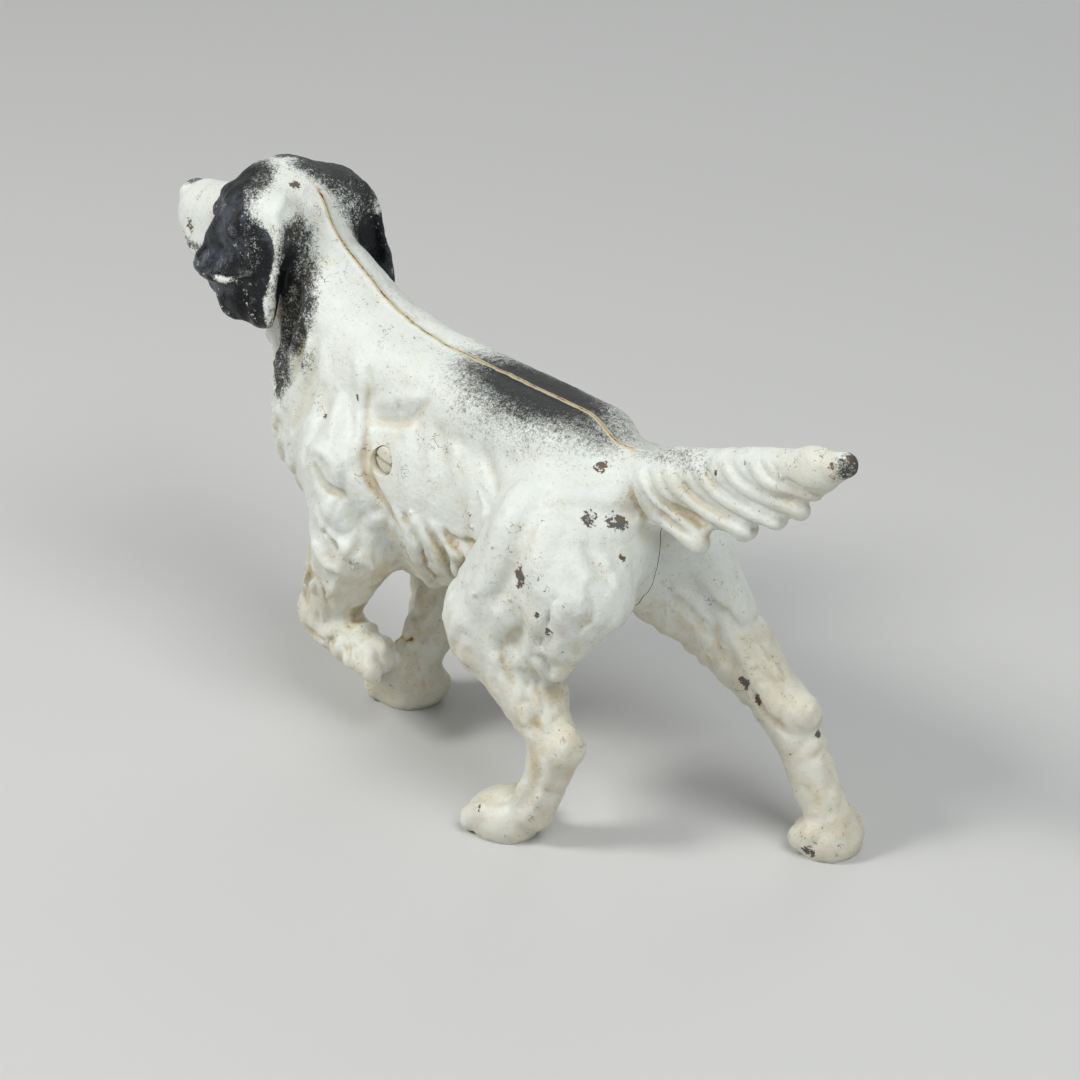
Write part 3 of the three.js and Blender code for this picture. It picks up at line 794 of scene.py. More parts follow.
        far = [
            Lock(((-88, -10, 112), (-100, -14, 102), (-110, -18, 88)), 7, 1.4),
            Lock(((-96, -12, 100), (-108, -18, 88), (-118, -24, 74)), 5, -1.2),
            Lock(((-112, -24, 88), (-122, -26, 76), (-134, -28, 62)), 5, 1.4),
            Lock(((-106, -16, 104), (-114, -22, 96), (-120, -26, 88)), 5, -1.1),
            Lock(((-128, -26, 66), (-136, -26, 58), (-146, -29, 50)), 4, -1.5),
            Lock(((-118, -28, 84), (-126, -30, 80), (-134, -32, 70)), 5, 1.3),
            Lock(((-98, -18, 116), (-106, -22, 108), (-112, -26, 98)), 6, 1.4),
            Lock(((-92, -48, 110), (-98, -47, 100), (-100, -44, 90)), 5, -1.6),
            Lock(((-84, -50, 112), (-92, -50, 98), (-104, -48, 84)), 7, 1.4),
            Lock(((60, -44, 104), (54, -44, 94), (50, -42, 84)), 5, 1.5),
            Lock(((52, -44, 98), (47, -42, 88), (46, -39, 76)), 4, -1.5),
            Lock(((42, -38, 84), (41, -33, 72), (40, -28, 60)), 5, 1.3),
            Lock(((38, -20, 76), (40, -12, 66), (42, -8, 54)), 5, 1.3),
            Lock(((58, -6, 62), (56, -2, 50), (54, 2, 38)), 4, -1.2),
            Lock(((46, -10, 84), (46, -6, 72), (47, -4, 60)), 5, 1.2),
        ]
        curls = [replace(lock, rise=self.curl_depth * lock.rise, blend=2.0) for lock in arm]
        return [*both, *shank, *curls, *far]

    def tail(self) -> list[Form]:
        """The core of the tail, its web, and the locks of its feather, which end in scallops.

        Returns:
            The forms.
        """
        forms: list[Form] = [
            Limb((-74, 0, 143), (-112, 0, 157), 13.5, 11.5, blend=9),
            Limb((-112, 0, 159), (-180, 0, 183.5), 11, 8.4, (1, 0.72, 1), 5),
            Limb((-180, 0, 183.5), (-194.6, 0, 190.5), 7.0, 4.6, (1, 0.85, 1), 6),
            Limb((-104, 0, 147), (-160, 0, 170), 12, 9, (1, 0.55, 1), 6),
        ]
        locks = (
            ((-96, 4, 150), (-126, 5, 138), 9, 5), ((-112, 2, 157), (-146, 2, 151), 9, 6.5),
            ((-124, 1, 163), (-161, 1, 160), 9, 6), ((-138, 0, 169), (-172, 0, 166), 8.5, 5),
            ((-150, 0, 174), (-179, 0, 175), 7.5, 4),
        )
        forms += [Limb(a, b, r0, r1, (1, 0.75, 1), 3) for a, b, r0, r1 in locks]
        return forms

    def tail_waves(self) -> list[Lock]:
        """The strands of the tail's feather, each from below the top edge to a notch of the lower one.

        Returns:
            The waves.
        """
        notches = ((-139, 144), (-153, 151), (-167, 159), (-176, 168), (-183, 175))
        waves = []
        for n, (x, z) in enumerate(notches):
            top, high = -103 - 13.5 * n, 160 + 5.2 * n
            side = 9.5 - 0.8 * n
            bend = ((top * 2 + x) / 3 + 1, side, (high + 2 * z) / 3 + 1.5 - 0.6 * n)
            course = ((top, side, high), bend, (x, 3, z))
            waves.append(Lock(course, 4.4 - 0.25 * n, -1.8 + 0.15 * n, True, 0.5, 2.2))
            strand = tuple((px - 6.5 + 0.4 * n, py, pz + 2.5) for px, py, pz in course[:2])
            waves.append(Lock((*strand, (x - 4, 4, z + 3)), 2.6, -1.0, True, 0.4, 1.5))
            crest = tuple((px + 3.5, py, pz - 1.5) for px, py, pz in course)
            waves.append(Lock(crest, 5, 1.0, True, 0.5, 3))
        waves.append(Lock(((-96, 12, 153), (-100, 9, 141), (-110, 7, 133)), 4, -1.8, True, 0.5, 2))
        waves.append(Lock(((-104, 10, 153), (-112, 9, 145), (-124, 8, 141)), 3.5, -1.5, True, 0.5, 2))
        return waves

    def forms(self) -> list[Form]:
        """Every mass of the figure, in the order in which they are blended.

        Returns:
            The forms.
        """
        ears = [form for ear in (*self.ear_root(), *self.ear_leaf()) for form in (ear, ear.mirrored())]
        belly = Limb((28, 0, 90), (-5, 0, 98), 18, 17, (1, 0.8, 1), 12)
        paws = [*self.paw(57, -4), *self.paw(-56, 42), *self.paw(-155, -41, 16)]
        legs = [
            *self.raised_foreleg(), *self.standing_foreleg(), *self.thighs(), *self.left_hind_leg(),
            *self.right_hind_leg(),
        ]
        return [*self.trunk(), *self.neck(), *self.skull(), belly, *self.face(), *ears, *legs, *paws, *self.tail()]

    def waves(self) -> list[Lock]:
        """Every wave and crease, on both sides where it has a twin.

        Returns:
            The waves.
        """
        found = [
            *self.face_creases(), *self.ear_waves(), *self.neck_waves(), *self.shoulder_waves(),
            *self.rib_waves(), *self.leg_waves(), *self.tail_waves(),
        ]
        return [lock for wave in found for lock in ((wave, wave.mirrored()) if wave.both_sides else (wave,))]


# ---- Shader sums --------------------------------------------------------------------------------------


class Tree:
    """The node tree of one material."""

    def __init__(self, name: str) -> None:
        """A material with a Principled shader and nothing else.

        Args:
            name: of the material.
        """
        self.material = bpy.data.materials.new(name)
        self.material.use_nodes = True
        self.nodes = self.material.node_tree.nodes
        self.links = self.material.node_tree.links
        self.shader = self.nodes["Principled BSDF"]

    def add(self, kind: str, settings: dict[str, Any] | None = None, **inputs: Any) -> bpy.types.Node:
        """A node of any type.

        Args:
            kind: its type.
            settings: its own settings, which are set first.
            **inputs: a value or a link for each socket, with _ for a space, or n0, n1 for a socket's number.

        Returns:
            The node.
        """
        node = self.nodes.new(kind)
        for name, value in (settings or {}).items():
            setattr(node, name, value)
        for name, value in inputs.items():
            self.feed(node, int(name[1:]) if name[0] == "n" and name[1:].isdigit() else name, value)
        return node

    def feed(self, node: bpy.types.Node, name: str | int, value: Any) -> None:
        """Sets a node's socket to a value, or links it.

        Args:
            node: that has the socket.
            name: of the socket, or its number.
            value: a number, a colour, a vector or a Wire.
        """
        socket = node.inputs[name if isinstance(name, int) else name.replace("_", " ")]
        if isinstance(value, Wire):
            self.links.new(value.socket, socket)
        else:
            socket.default_value = value

    def wire(self, node: bpy.types.Node, output: str | int = 0) -> "Wire":
        """One of a node's outputs, to reckon with."""
        return Wire(self, node.outputs[output])

    def zone(self, name: str) -> "Wire":
        """A value that the mesh carries at its points."""
        node = self.add("ShaderNodeAttribute", {"attribute_name": name})
        return self.wire(node, "Fac")

    def place(self) -> "Wire":
        """Coordinates that stay with the piece."""
        return self.wire(self.add("ShaderNodeTexCoord"), "Object")

    def noise(self, size: float, detail: float = 3.0, rough: float = 0.55, at: "Wire | None" = None) -> "Wire":
        """Noise from 0 to 1.

        Args:
            size: of one wave, in metres.
            detail: octaves.
            rough: the weight of the finer octaves.
            at: coordinates other than the piece's own.

        Returns:
            The noise.
        """
        node = self.add(
            "ShaderNodeTexNoise", {"noise_dimensions": "3D"},
            Vector=at or self.place(), Scale=1 / size, Detail=detail, Roughness=rough,
        )
        return self.wire(node)

    def cells(self, size: float, at: "Wire") -> "Wire":
        """The distance to the middle of the nearest of many cells.

        Args:
            size: of one cell, in metres.
            at: coordinates.

        Returns:
            The distance, in cells.
        """
        node = self.add("ShaderNodeTexVoronoi", {"feature": "F1"}, Vector=at, Scale=1 / size)
        return self.wire(node, "Distance")

    def bent(self, size: float, by: float) -> "Wire":
        """The piece's coordinates pushed about by noise.

        Args:
            size: of one wave, in metres.
            by: how far, in metres.

        Returns:
            The coordinates.
        """
        noise = self.add("ShaderNodeTexNoise", None, Vector=self.place(), Scale=1 / size, Detail=2.0)
        centred = self.add(
            "ShaderNodeVectorMath", {"operation": "SUBTRACT"}, n0=self.wire(noise, "Color"), n1=(0.5, 0.5, 0.5)
        )
        pushed = self.add("ShaderNodeVectorMath", {"operation": "SCALE"}, n0=self.wire(centred), Scale=by)
        moved = self.add("ShaderNodeVectorMath", {"operation": "ADD"}, n0=self.place(), n1=self.wire(pushed))
        return self.wire(moved)

    def mix(self, mask: Any, a: Any, b: Any) -> "Wire":
        """Colour a where the mask is 0 and b where it is 1."""
        node = self.add("ShaderNodeMix", {"data_type": "RGBA"}, n0=mask, n6=a, n7=b)
        return self.wire(node, 2)

    def bump(self, height: "Wire", distance: float, strength: float = 1.0) -> "Wire":
        """A normal from a height.

        Args:
            height: from 0 to 1.
            distance: that a height of 1 stands for, in metres.
            strength: of the effect.

        Returns:
            The normal.
        """
        return self.wire(self.add("ShaderNodeBump", None, Height=height, Distance=distance, Strength=strength))


@dataclass(frozen=True)
class Wire:
    """A socket that can be reckoned with. Each sum adds a Math node."""

    tree: Tree
    socket: bpy.types.NodeSocket

    def _math(self, operation: str, a: Any, b: Any = 0.0) -> "Wire":
        """A Math node on two values."""
        return self.tree.wire(self.tree.add("ShaderNodeMath", {"operation": operation}, n0=a, n1=b))

    def __add__(self, other: Any) -> "Wire":
        """self + other."""
        return self._math("ADD", self, other)

    __radd__ = __add__

    def __sub__(self, other: Any) -> "Wire":
        """self - other."""
        return self._math("SUBTRACT", self, other)

    def __rsub__(self, other: Any) -> "Wire":
        """other - self."""
        return self._math("SUBTRACT", other, self)

    def __mul__(self, other: Any) -> "Wire":
        """self * other."""
        return self._math("MULTIPLY", self, other)

    __rmul__ = __mul__

    def away_from(self, value: float) -> "Wire":
        """How far the value is from another one."""
        return self._math("ABSOLUTE", self - value)

    def __or__(self, other: Any) -> "Wire":
        """The larger of two masks."""
        return self._math("MAXIMUM", self, other)

    __ror__ = __or__

    def over(self, low: float, high: float) -> "Wire":
        """A soft step, which falls where high is below low.

        Args:
            low: the value at which it is 0.
            high: the value at which it is 1.

        Returns:
            The step.
        """
        rising = high > low
        node = self.tree.add(
            "ShaderNodeMapRange", {"interpolation_type": "SMOOTHSTEP", "clamp": True},
            Value=self, From_Min=min(low, high), From_Max=max(low, high),
            To_Min=0.0 if rising else 1.0, To_Max=1.0 if rising else 0.0,
        )
        return self.tree.wire(node)


def tint(code: str) -> tuple[float, float, float, float]:
    """The scene-linear colour of a six-digit sRGB code.

    Args:
        code: red, green and blue, two digits each.

    Returns:
        The colour, with an alpha of 1.
    """
    values = [int(code[n : n + 2], 16) / 255 for n in (0, 2, 4)]
    linear = [v / 12.92 if v <= 0.04045 else ((v + 0.055) / 1.055) ** 2.4 for v in values]
    return (*linear, 1.0)


# ---- Finishes -----------------------------------------------------------------------------------------


class Zone(Enum):
    """What the skin's points know about where they are, each a value from 0 to 1."""

    EAR = "ear"  # the glossy black ears
    SADDLE = "saddle"  # black sprayed softly over the loin
    SHADE = "shade"  # thinner black on forehead, nape, lips and tail tip
    RECESS = "recess"  # hollows, which are made darker and browner
    EDGE = "edge"  # ridges, where paint wears
    LOW = "low"  # legs, belly, brisket, faces that look down and the rear, made yellower and darker: partly yellowing, partly painted shade from below
    SEAM = "seam"  # the joint along the back
    CHIP = "chip"  # places where the paint has come off


@dataclass(frozen=True)
class Grains:
    """The noises that an aged finish is mixed from."""

    broad: Wire  # a hand's breadth
    middle: Wire  # a finger's breadth
    fine: Wire  # a grain of sand
    dust: Wire  # the finest


@dataclass(frozen=True)
class AgedEnamel:
    """Cream enamel with black sprayed over it, cracked, chipped and yellowed, with painted shade low down and a
    painted bluish sheen on the black ears.
    """

    cream: str = "dfe4de"
    ivory: str = "d9d7c8"
    tan: str = "c8b896"
    hollow_brown: str = "7d6b50"
    black: str = "131417"
    # painted sheen: the bluish grey laid over the black ears
    sheen_blue: str = "50565f"
    charcoal: str = "232324"
    iron: str = "4a5057"
    rust: str = "6f4a34"
    filler: str = "cdbd98"  # what fills the joint along the back
    speckle: str = "8d8876"
    roughness: float = 0.4
    specular: float = 0.32
    relief: float = 0.00046  # metres from the lowest to the highest of the skin's bumps
    sizes: Point = (0.04, 0.009, 0.0018)  # metres, of the broad, middle and fine noise
    dust_size: float = 0.0007

    def material(self) -> bpy.types.Material:
        """The finish of the two castings' outside.

        Returns:
            The material.
        """
        tree = Tree("aged enamel")
        zone = {z: tree.zone(z.value) for z in Zone}
        broad, middle, fine = self.sizes
        grains = Grains(
            tree.noise(broad, 4.0), tree.noise(middle, 4.0, 0.6), tree.noise(fine, 3.0, 0.7),
            tree.noise(self.dust_size, 2.0, 0.6),
        )
        marks = self._marks(tree, grains)
        black, sprayed = self._black_masks(zone, grains)
        bare, halo = self._chips(tree, zone, grains)
        colour = self._body(tree, zone, grains)
        colour = tree.mix(marks * (1 - black) * (1 - sprayed * 0.7), colour, tint(self.iron))
        colour = self._blacked(tree, zone, grains, black, sprayed, colour)
        colour = tree.mix(halo * 0.5, colour, tint(self.tan))
        colour = tree.mix(bare * 0.92, colour, self._metal(tree, grains))
        colour = self._joint(tree, zone, grains, colour)

        rough = self.roughness + (grains.fine - 0.5) * 0.3 + sprayed * 0.15 + bare * 0.25 - black * 0.14
        skin = tree.noise(0.0022, 5.0, 0.66)
        height = skin * 0.9 + grains.fine * 0.35 + grains.dust * 0.12 - marks * 0.25 - bare * 0.9
        tree.feed(tree.shader, "Base Color", colour)
        tree.feed(tree.shader, "Roughness", rough)
        tree.feed(tree.shader, "Metallic", bare * 0.3)
        tree.feed(tree.shader, "Normal", tree.bump(height, self.relief))
        tree.feed(tree.shader, "Specular IOR Level", self.specular)
        return tree.material

    def _body(self, tree: Tree, zone: dict[Zone, Wire], grains: Grains) -> Wire:
        """The cream ground with its yellowing and stains, browner in its hollows, with painted shade low down.

        Args:
            tree: of the material.
            zone: the zones.
            grains: the noises.

        Returns:
            The colour.
        """
        broad, middle, fine, dust = grains.broad, grains.middle, grains.fine, grains.dust
        # partly yellowing, partly painted shade: yellower on the lower parts and on faces that look down
        yellowing_and_shade = (zone[Zone.LOW] * 0.7 + (broad - 0.5) * 1.1 + (middle - 0.5) * 0.5).over(0.0, 0.9)
        colour = tree.mix(yellowing_and_shade, tint(self.cream), tint(self.ivory))
        mottle = (middle * 0.5 + fine * 0.5).over(0.35, 0.72)
        colour = tree.mix(mottle * 0.22, colour, tint(self.tan))
        # tan from stains, from the hollows, and painted shade on the lower parts
        stain_and_shade = zone[Zone.RECESS] * 0.95 + zone[Zone.LOW] * 0.22 + (broad - 0.5) * 0.9 + (middle - 0.5) * 0.9
        colour = tree.mix(stain_and_shade.over(0.0, 1.15) * 0.85, colour, tint(self.tan))
        # darker and browner in the hollows
        hollow_darkening = (zone[Zone.RECESS] + (fine - 0.5) * 1.4 + (middle - 0.5) * 0.9).over(0.8, 1.5)
        colour = tree.mix(hollow_darkening * 0.6, colour, tint(self.hollow_brown))
        return tree.mix((fine * 0.6 + dust * 0.4).over(0.56, 0.72) * 0.28, colour, tint(self.speckle))

    @staticmethod
    def _marks(tree: Tree, grains: Grains) -> Wire:
        """Hairline cracks and black specks, which come in clusters.

        Args:
            tree: of the material.
            grains: the noises.

        Returns:
            Their mask.
        """
        bent = tree.bent(0.004, 0.0016)
        line = tree.noise(0.0052, 2.0, 0.5, bent).away_from(0.5).over(0.012, 0.003)
        cracks = line * tree.noise(0.0075, 3.0).over(0.56, 0.62) * grains.broad.over(0.42, 0.55)
        cluster = tree.noise(0.015, 3.0, 0.6).over(0.52, 0.66)
        specks = tree.cells(0.0021, bent).over(0.24, 0.12) * grains.fine.over(0.5, 0.58) * cluster
        pepper = tree.noise(0.0009, 2.0, 0.5).over(0.66, 0.70) * grains.middle.over(0.5, 0.68)
        return (cracks * 0.8) | (specks * 0.85) | (pepper * 0.75)

    @staticmethod
    def _black_masks(zone: dict[Zone, Wire], grains: Grains) -> tuple[Wire, Wire]:
        """Where the brushed black lies on the ears, and the sprayed black elsewhere.

        Args:
            zone: the zones.
            grains: the noises.

        Returns:
            The two masks.
        """
        middle = grains.middle - 0.5
        grain = (grains.fine - 0.5) * 1.0 + (grains.dust - 0.5) * 1.3
        black = (zone[Zone.EAR] + middle * 0.7 + grain * 0.55).over(0.34, 0.66)
        saddle = (zone[Zone.SADDLE] * 1.2 + grain * 0.75 + middle * 0.4 - 0.05).over(0.15, 0.9)
        shade = (zone[Zone.SHADE] + grain * 1.1 + middle * 0.8 - 0.05).over(0.2, 0.95)
        return black, saddle | shade

    def _blacked(
        self, tree: Tree, zone: dict[Zone, Wire], grains: Grains, black: Wire, sprayed: Wire, colour: Wire
    ) -> Wire:
        """The sprayed and the brushed black laid over a colour, with a painted bluish sheen on the brushed black and
        the ground showing where it has flaked.

        Args:
            tree: of the material.
            zone: the zones.
            grains: the noises.
            black: the mask of the brushed black.
            sprayed: the mask of the sprayed black.
            colour: what they lie on.

        Returns:
            The colour.
        """
        broad, middle, fine = grains.broad, grains.middle, grains.fine
        colour = tree.mix(sprayed * 0.975, colour, tree.mix(grains.dust, tint(self.charcoal), tint(self.black)))
        # painted sheen: bluish-grey patches on the brushed black stand in for the lamps' reflection on the glossy ears
        painted_sheen = (broad + (middle - 0.5) * 0.8).over(0.47, 0.68)
        colour = tree.mix(black, colour, tree.mix(painted_sheen * 0.8, tint(self.black), tint(self.sheen_blue)))
        flakes = (zone[Zone.EDGE] * 0.12 + (middle - 0.5) * 1.8 + (fine - 0.5) * 2.6).over(0.5, 0.66) * black
        return tree.mix(flakes * 0.8, colour, tint(self.ivory))

    @staticmethod
    def _chips(tree: Tree, zone: dict[Zone, Wire], grains: Grains) -> tuple[Wire, Wire]:
        """Where the paint has come off, and the stained rim round it.

        Args:
            tree: of the material.
            zone: the zones.
            grains: the noises.

        Returns:
            The two masks.
        """
        worn = zone[Zone.CHIP] + (tree.noise(0.0036, 4.0, 0.7) - 0.5) * 3.2 + (grains.fine - 0.5) * 1.4
        chips = (worn * zone[Zone.CHIP].over(0.0, 0.3)).over(0.66, 0.74)
        stray = tree.noise(0.0046, 3.0, 0.65).over(0.715, 0.73) * tree.noise(0.026, 2.0).over(0.5, 0.62)
        return chips | stray, (worn * zone[Zone.CHIP]).over(0.2, 0.6)

    def _metal(self, tree: Tree, grains: Grains) -> Wire:
        """The iron that shows in the chips, rusty in patches."""
        rusty = (grains.middle + (grains.fine - 0.5) * 1.6).over(0.53, 0.68)
        return tree.mix(rusty, tint(self.iron), tint(self.rust))

    def _joint(self, tree: Tree, zone: dict[Zone, Wire], grains: Grains, colour: Wire) -> Wire:
        """The joint along the back laid over a colour.

        Args:
            tree: of the material.
            zone: the zones.
            grains: the noises.
            colour: what it crosses.

        Returns:
            The colour.
        """
        fine = grains.fine - 0.5
        seam = (zone[Zone.SEAM] + fine * 0.5).over(0.15, 0.5)
        rusty = (zone[Zone.SEAM] + (grains.middle - 0.5) * 1.6 + fine * 0.8).over(0.85, 1.15)
        colour = tree.mix(seam * 0.85, colour, tint(self.filler))
        return tree.mix(rusty * 0.9, colour, tint(self.rust))


@dataclass(frozen=True)
class RawIron:
    """Bare cast iron, dark, grainy and rusting."""

    name: str = "raw iron"
    dark: str = "2b2725"
    light: str = "4a4441"
    rust: str = "6e3c20"
    grain: float = 0.0012  # metres
    rusting: float = 0.5  # the noise above which it rusts
    rust_edge: float = 0.2
    relief: float = 0.0003  # metres

    def material(self) -> bpy.types.Material:
        """The finish of the castings' inside and of their cut faces.

        Returns:
            The material.
        """
        tree = Tree(self.name)
        coarse, fine = tree.noise(0.008, 5.0, 0.6), tree.noise(self.grain, 3.0, 0.65)
        colour = tree.mix(fine, tint(self.dark), tint(self.light))
        rusty = (coarse + (fine - 0.5) * 0.5).over(self.rusting, self.rusting + self.rust_edge)
        colour = tree.mix(rusty * 0.8, colour, tint(self.rust))
        tree.feed(tree.shader, "Base Color", colour)
        tree.feed(tree.shader, "Roughness", 0.58 + rusty * 0.3 + (fine - 0.5) * 0.15)
        tree.feed(tree.shader, "Metallic", 0.75 - rusty * 0.65)
        tree.feed(tree.shader, "Normal", tree.bump(fine + coarse * 0.6, self.relief, 0.8))
        return tree.material


@dataclass(frozen=True)
class PaintedSteel:
    """A screw that was painted over with the rest and has been turned since."""

    paint: str = "d2cfbd"
    steel: str = "55504b"
    rust: str = "7d4826"
    head: float = 0.028  # y, in metres, beyond which the paint lies
    paint_edge: float = 0.0004  # metres on each side over which it ends
    relief: float = 0.00015  # metres

    def material(self) -> bpy.types.Material:
        """Paint on the head, bare steel on the shank.

        Returns:
            The material.
        """
        tree = Tree("painted screw")
        coarse, fine = tree.noise(0.003, 4.0, 0.6), tree.noise(0.0008, 3.0, 0.65)
        along = self._along(tree)
        steel = tree.mix((coarse + (fine - 0.5) * 0.5).over(0.42, 0.62), tint(self.steel), tint(self.rust))
        worn = (coarse * 0.6 + fine * 0.5).over(0.62, 0.7)
        painted = along.over(self.head - self.paint_edge, self.head + self.paint_edge) * (1 - worn)
        colour = tree.mix(painted, steel, tint(self.paint))
        tree.feed(tree.shader, "Base Color", colour)
        tree.feed(tree.shader, "Roughness", 0.45 + (fine - 0.5) * 0.25)
        tree.feed(tree.shader, "Metallic", 0.8 - painted * 0.8)
        tree.feed(tree.shader, "Normal", tree.bump(fine + coarse, self.relief, 0.7))
        return tree.material

    @staticmethod
    def _along(tree: Tree) -> Wire:
        """The piece's own y."""
        return tree.wire(tree.add("ShaderNodeSeparateXYZ", None, n0=tree.place()), 1)


# ---- Meshes -------------------------------------------------------------------------------------------


def new_object(name: str, points: Any, faces: Iterable[Sequence[int]]) -> bpy.types.Object:
    """A mesh object in the scene.

    Args:
        name: of the object.
        points: in metres.
        faces: the point numbers of each face.

    Returns:
        The object.
    """
    mesh = bpy.data.meshes.new(name)
    mesh.from_pydata(np.asarray(points, float).tolist(), [], [list(map(int, face)) for face in faces])
    mesh.update()
    made = bpy.data.objects.new(name, mesh)
    bpy.context.scene.collection.objects.link(made)
    return made


def carve(target: bpy.types.Object, tool: bpy.types.Object, operation: str) -> None:
    """Joins, cuts or crosses a solid with another one, which goes away.

    Args:
        target: the solid that changes.
        tool: the other solid.
        operation: UNION, DIFFERENCE or INTERSECT.
    """
    cut = target.modifiers.new("carve", "BOOLEAN")
    cut.object, cut.operation, cut.solver = tool, operation, "MANIFOLD"
    graph = bpy.context.evaluated_depsgraph_get()
    mesh = bpy.data.meshes.new_from_object(target.evaluated_get(graph))
    if len(mesh.vertices) in (0, len(target.data.vertices)):
        raise RuntimeError(f"{operation} of {tool.name} left {target.name} as it was")
    target.modifiers.clear()
    old, target.data = target.data, mesh
    bpy.data.meshes.remove(old)
    bpy.data.objects.remove(tool)


def prism(outline: Outline, y0: float, y1: float) -> bpy.types.Object:
    """An outline pulled out along y. All in drawn millimetres.

    Args:
        outline: its corners.
        y0: where it starts.
        y1: where it ends.

    Returns:
        The object.
    """
    ring = list(outline) if turning(outline) < 0 else list(outline)[::-1]
    count = len(ring)
    points = [to_frame((x, y, z)) for y in (y0, y1) for x, z in ring]
    sides = [(n, (n + 1) % count, count + (n + 1) % count, count + n) for n in range(count)]
    made = new_object("tool", points, [list(range(count))[::-1], list(range(count, 2 * count)), *sides])
    outward(made)
    return made


def box_outline(x0: float, x1: float, z0: float, z1: float) -> Outline:
    """The four corners of an upright rectangle.

    Args:
        x0: its lowest x.
        x1: its highest x.
        z0: its lowest z.
        z1: its highest z.

    Returns:
        The corners.
    """
    return [(x0, z0), (x1, z0), (x1, z1), (x0, z1)]


def turning(outline: Outline) -> float:
    """Above zero if an outline runs one way round, below zero if it runs the other."""
    return sum(a[0] * b[1] - b[0] * a[1] for a, b in zip(outline, [*outline[1:], outline[0]]))


def outward(made: bpy.types.Object) -> None:
    """Turns a closed mesh's faces to point out.

    Args:
        made: the object that has the mesh.
    """
    work = bmesh.new()
    work.from_mesh(made.data)
    bmesh.ops.recalc_face_normals(work, faces=work.faces)
    work.to_mesh(made.data)
    work.free()


def grown(outline: Outline, by: float) -> Outline:
    """An outline with each of its sides moved out.

    Args:
        outline: its corners.
        by: how far, in drawn millimetres.

    Returns:
        The new corners.
    """
    turn = 1.0 if turning(outline) > 0 else -1.0
    found = []
    for before, here, after in zip([outline[-1], *outline], outline, [*outline[1:], outline[0]]):
        one = _normal(before, here, turn)
        two = _normal(here, after, turn)
        share = by / (1.0 + one[0] * two[0] + one[1] * two[1])
        found.append((here[0] + (one[0] + two[0]) * share, here[1] + (one[1] + two[1]) * share))
    return found


def _normal(a: tuple[float, float], b: tuple[float, float], turn: float) -> tuple[float, float]:
    """The outward normal of an outline's side.

    Args:
        a: the side's first corner.
        b: its second one.
        turn: 1 or -1, the way that the outline runs.

    Returns:
        x and z of the normal.
    """
    x, z = b[0] - a[0], b[1] - a[1]
    size = math.hypot(x, z)
    return turn * z / size, -turn * x / size


def drum(centre: tuple[float, float], radius: float, y0: float, y1: float, sides: int = 48) -> bpy.types.Object:
    """A round tool along y, in drawn millimetres.

    Args:
        centre: x and z of its axis.
        radius: of the tool.
        y0: where it starts.
        y1: where it ends.
        sides: of the tool.

    Returns:
        The object.
    """
    x, z = centre
    turns = [2 * math.pi * n / sides for n in range(sides)]
    return prism([(x + radius * math.cos(t), z + radius * math.sin(t)) for t in turns], y0, y1)


def to_frame(point: Sequence[float]) -> Point:
    """A drawn point, in millimetres, as a place in the frame, in metres."""
    return ((point[0] - DRAWN_MIDDLE) * SCALE * MM, point[1] * SCALE * MM, point[2] * SCALE * MM)


def finish_mesh(made: bpy.types.Object, sharp: float, materials: Sequence[bpy.types.Material]) -> None:
    """Smooth shading with hard edges past an angle, and the materials.

    Args:
        made: the object.
        sharp: the angle, in degrees.
        materials: for its slots.
    """
    made.data.shade_smooth()
    made.data.set_sharp_from_angle(angle=math.radians(sharp))
    made.data.materials.clear()
    for material in materials:
        made.data.materials.append(material)


def revolved(name: str, x: float, z: float, rings: Sequence[tuple[float, Any]], sides: int = 40) -> bpy.types.Object:
    """A closed solid turned about a line along y.

    Args:
        name: of the object.
        x: of the line, drawn.
        z: of the line, drawn.
        rings: y and radius of each ring, where a radius is a number or a function of the turn from 0 to 1.
        sides: of each ring.

    Returns:
        The object.
    """
    points: list[Point] = []
    for y, radius in rings:
        for n in range(sides):
            r = radius(n / sides) if callable(radius) else radius
            turn = 2 * math.pi * n / sides
            points.append(to_frame((x + r * math.cos(turn), y, z + r * math.sin(turn))))
    faces: list[Sequence[int]] = [range(sides), range(len(points) - 1, len(points) - 1 - sides, -1)]
    for ring in range(len(rings) - 1):
        a, b = ring * sides, (ring + 1) * sides
        faces += [(a + n, b + n, b + (n + 1) % sides, a + (n + 1) % sides) for n in range(sides)]
    made = new_object(name, points, faces)
    outward(made)
    return made


def smoothstep(values: np.ndarray, low: float, high: float) -> np.ndarray:
    """A soft step, which falls where high is below low.

    Args:
        values: to step over.
        low: the value at which it is 0.
        high: the value at which it is 1.

    Returns:
        The step of each value.
    """
    t = np.clip((values - low) / (high - low), 0.0, 1.0)
    return t * t * (3 - 2 * t)


# ---- The two castings ---------------------------------------------------------------------------------


class Share(Enum):
    """The two castings, which are pushed together along y."""

    LEFT = ("left_casting", "left_half")
    RIGHT = ("right_casting", "right_half")


